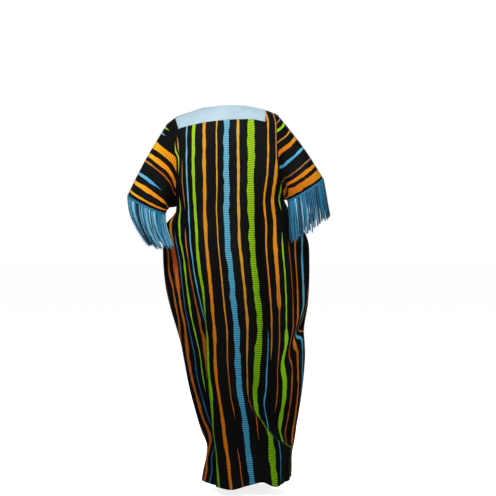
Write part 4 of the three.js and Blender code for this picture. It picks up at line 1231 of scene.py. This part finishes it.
def hanging_yarn(side):
    """Thin tubes from inside the heading, each a little different in thickness and shade."""
    rng = np.random.default_rng(SEED + (side == "left"))
    cuff, facing = sleeves[side][-1], sleeve_directions[side][-1]
    middles = cuff + arm_direction(SLEEVES[side]) * (HEADING - 1.0) - facing * (HEADING_CLOTH / 2 - 0.4)
    roots = at_shares(around(middles), STRAND_PLACE)[0]
    roots = roots + rng.normal(0, 0.35, roots.shape)
    paths = fringe_paths(side, roots, rng)
    thinner = np.linspace(1, 0.72, paths.shape[1])[None, :]
    radii = YARN_RADIUS * thinner * rng.uniform(0.85, 1.15, STRANDS)[:, None]
    shade, spread = YARN_SHADE[side]
    # Shades vary by lock and by strand: partly the yarn's own tone, partly painted shade and painted
    # highlights.
    shades = shade + spread * rng.normal(0, 1, LOCKS)[LOCK] + 0.7 * spread * rng.normal(0, 1, STRANDS)
    return tubes(paths, radii, np.clip(shades, 0, 1))


for side in EDGE:
    piece(
        f"{side}_fringe_yarn", FRINGE_YARN, woven_heading(side), hanging_yarn(side),
        attribute="shade", smooth=80,
    )
    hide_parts(f"{side}_fringe")


# ---- Seam allowances and hem, on the inside ----
ALLOWANCE = 3  # columns or rows that an allowance takes in
INWARDS = np.arange(ALLOWANCE, -1, -1)  # steps from the seam, the farthest first
HEM_ROWS = 5
INSIDE = SHELL + 0.35
STRIP_SHIFT = 700  # past the last stripe, so that the strips show the plain ground


def inside_strip(name, outer, directions, closed=False):
    """A strip of cloth that lies just inside a grid of outer points, with its wrong side showing."""
    inner = outer - directions * INSIDE
    uv = plain_uv(inner, closed) + STRIP_SHIFT
    points, faces, uv, _ = shell(inner, directions, THIN_CLOTH, uv, closed)
    made = piece(name, BODY_CLOTH, (points, faces, uv, np.ones(len(points))))
    return made


def over_seam(front, back):
    """Points and directions of the front joined to those of the back, across their seam."""
    return [np.concatenate(pair, axis=1) for pair in zip(front, back)]


def side_seam(side):
    """Both panels' cloth beside a side seam, from above the hem to below the underarm."""
    columns = INWARDS if side == "right" else -1 - INWARDS

    def beside(panel, order):
        """A panel's points and directions at some columns."""
        return [grids[panel][4 : SKIRT_STEPS - 1][:, order] for grids in (panels, panel_directions)]

    return over_seam(beside("front", columns), beside("back", columns[::-1]))


def shoulder_seam(side):
    """Both panels' cloth beside a shoulder seam, between the neckline and the armhole."""
    shoulder = COLUMNS * OUT[side] > NECK_COLUMN + 0.6
    shoulder[[0, 1, -2, -1]] = False
    rows = -1 - INWARDS

    def beside(panel, order):
        """A panel's points and directions at some rows, with the seam's way first."""
        grids = (panels[panel], panel_directions[panel])
        return [grid[order][:, shoulder].transpose(1, 0, 2) for grid in grids]

    return over_seam(beside("front", rows), beside("back", rows[::-1]))


def armhole_seam(side):
    """The panels' and then the sleeve's cloth beside an armhole seam, as rings."""
    columns = INWARDS if side == "right" else -1 - INWARDS
    rings = [[armhole_ring(grids, column) for grids in (panels, panel_directions)] for column in columns]
    rings += [[sleeves[side][row], sleeve_directions[side][row]] for row in range(ALLOWANCE)]
    outer, directions = (np.stack([ring[i] for ring in rings]) for i in (0, 1))
    return outer, unit(directions)


for side in EDGE:
    inside_strip(f"{side}_side_seam", *side_seam(side))
    inside_strip(f"{side}_shoulder_seam", *shoulder_seam(side))
    inside_strip(f"{side}_armhole_seam", *armhole_seam(side), closed=True)
hem_outer, hem_facing = (
    np.concatenate([grids["back"][:HEM_ROWS, 1:-1], grids["front"][:HEM_ROWS, -2:0:-1]], axis=1)
    for grids in (panels, panel_directions)
)
inside_strip("hem_turned_up", hem_outer, hem_facing, closed=True)


# ---- Stitches ----
BAND_STITCH, HEM_STITCH = (4.2, 2.9), (4.5, 3.1)  # pitch and length


def stitches(path, facing, pitch, length, closed=False):
    """A row of short stitches along a path: each is a small arch that dips into the cloth at its ends."""
    if closed:
        path, facing = np.concatenate([path, path[:1]]), np.concatenate([facing, facing[:1]])
    total = lengths(path[None], 1)[0, -1]
    count = int(total / pitch)
    middle = (np.arange(count) + 0.5) / count
    half = length / total / 2
    t = np.linspace(-1, 1, 5)
    shares = np.clip(middle[:, None] + half * t, 0, 1).ravel()
    points = at_shares(path[None], shares)[0].reshape(count, 5, 3)
    where = np.interp(shares * total, lengths(path[None], 1)[0], np.arange(len(path)))
    low = np.floor(where).astype(int).clip(0, len(path) - 2)
    out = unit(lerp(facing[low], facing[low + 1], (where - low)[:, None])).reshape(count, 5, 3)
    lift = np.array([-0.4, 0.15, 0.28, 0.15, -0.4])[None, :, None]
    return tubes(points + out * lift, np.full((count, 5), THREAD_RADIUS), np.full(count, 0.5))


band_stitches = []
for outer, directions, columns in band_faces:
    row, left, right = 4, 5, len(columns) - 6
    in_neck = np.abs(columns) <= NECK_COLUMN
    upwards = slice(row, -2)
    lines = [(row, slice(left, right + 1)), (upwards, left), (upwards, right), (-5, in_neck)]
    band_stitches += [stitches(outer[line], directions[line], *BAND_STITCH) for line in lines]
stitch_pieces = [piece("neck_band_stitches", PALE_THREAD, *band_stitches, attribute="shade", smooth=80)]

hem_line = [(hem_outer[4], hem_facing[4])]
cuff_lines = [(sleeves[side][-2], sleeve_directions[side][-2]) for side in EDGE]
dark = [stitches(path, facing, *HEM_STITCH, closed=True) for path, facing in hem_line + cuff_lines]
stitch_pieces.append(piece("hem_and_cuff_stitches", DARK_THREAD, *dark, attribute="shade", smooth=80))


# ---- Floor, light and camera ----
def pale_floor():
    """A wide pale floor that reaches the horizon."""
    made, _, shader = material("pale_floor")
    shader.inputs["Base Color"].default_value = (0.95, 0.95, 0.95, 1)
    shader.inputs["Roughness"].default_value = 1.0
    shader.inputs["Emission Color"].default_value = (1, 1, 1, 1)
    shader.inputs["Emission Strength"].default_value = 0.8
    side = np.array([-1, 1, 1, -1]) * FLOOR_REACH
    points = np.stack([side, np.roll(side, 1), np.full(4, FLOOR)], axis=-1)
    mesh = bpy.data.meshes.new("floor")
    mesh.from_pydata(points * MM, [], [(0, 3, 2, 1)])
    mesh.materials.append(made)
    stand = bpy.data.objects.new("floor", mesh)
    stand.visible_diffuse = stand.visible_glossy = False  # seen white, but throws no light on the cloth
    bpy.context.scene.collection.objects.link(stand)


def soft_light(name, place, target, size, power):
    """A square area light turned towards a target, all in metres."""
    lamp = bpy.data.lights.new(name, "AREA")
    lamp.size, lamp.energy = size, power
    made = bpy.data.objects.new(name, lamp)
    made.visible_camera = False
    bpy.context.scene.collection.objects.link(made)
    made.location = place
    way = np.array(target, float) - np.array(place, float)
    made.rotation_euler = (math.atan2(math.hypot(way[0], way[1]), -way[2]), 0,
                           math.atan2(way[1], way[0]) - math.pi / 2)


def white_room():
    """White behind everything at full strength, which lights the cloth with a fifth of it only."""
    world = bpy.data.worlds.new("studio")
    world.use_nodes = True
    tree = world.node_tree
    seen = tree.nodes.new("ShaderNodeLightPath")
    strength = tree.nodes.new("ShaderNodeMapRange")
    tree.links.new(seen.outputs["Is Camera Ray"], strength.inputs["Value"])
    strength.inputs["To Min"].default_value, strength.inputs["To Max"].default_value = 0.2, 1.0
    back = tree.nodes["Background"]
    back.inputs["Color"].default_value = (1, 1, 1, 1)
    tree.links.new(strength.outputs["Result"], back.inputs["Strength"])
    bpy.context.scene.world = world


pale_floor()
soft_light("key", (0.35, 2.0, 0.95), (0, 0, -0.3), 1.0, 50)
soft_light("fill", (-1.6, 2.4, 0.0), (0, 0, -0.7), 1.5, 14)
soft_light("front_key", (-0.5, -2.0, 0.95), (0, 0, -0.3), 1.0, 52)
white_room()
bpy.context.scene.view_settings.view_transform = "Standard"

lens = bpy.data.cameras.new("camera")
lens.lens, lens.sensor_width = 75.3, 36
camera = bpy.data.objects.new("camera", lens)
camera.location = (-0.093, 4.0, -0.532)
camera.rotation_euler = (math.pi / 2, 0, math.pi)
bpy.context.scene.collection.objects.link(camera)
bpy.context.scene.camera = camera
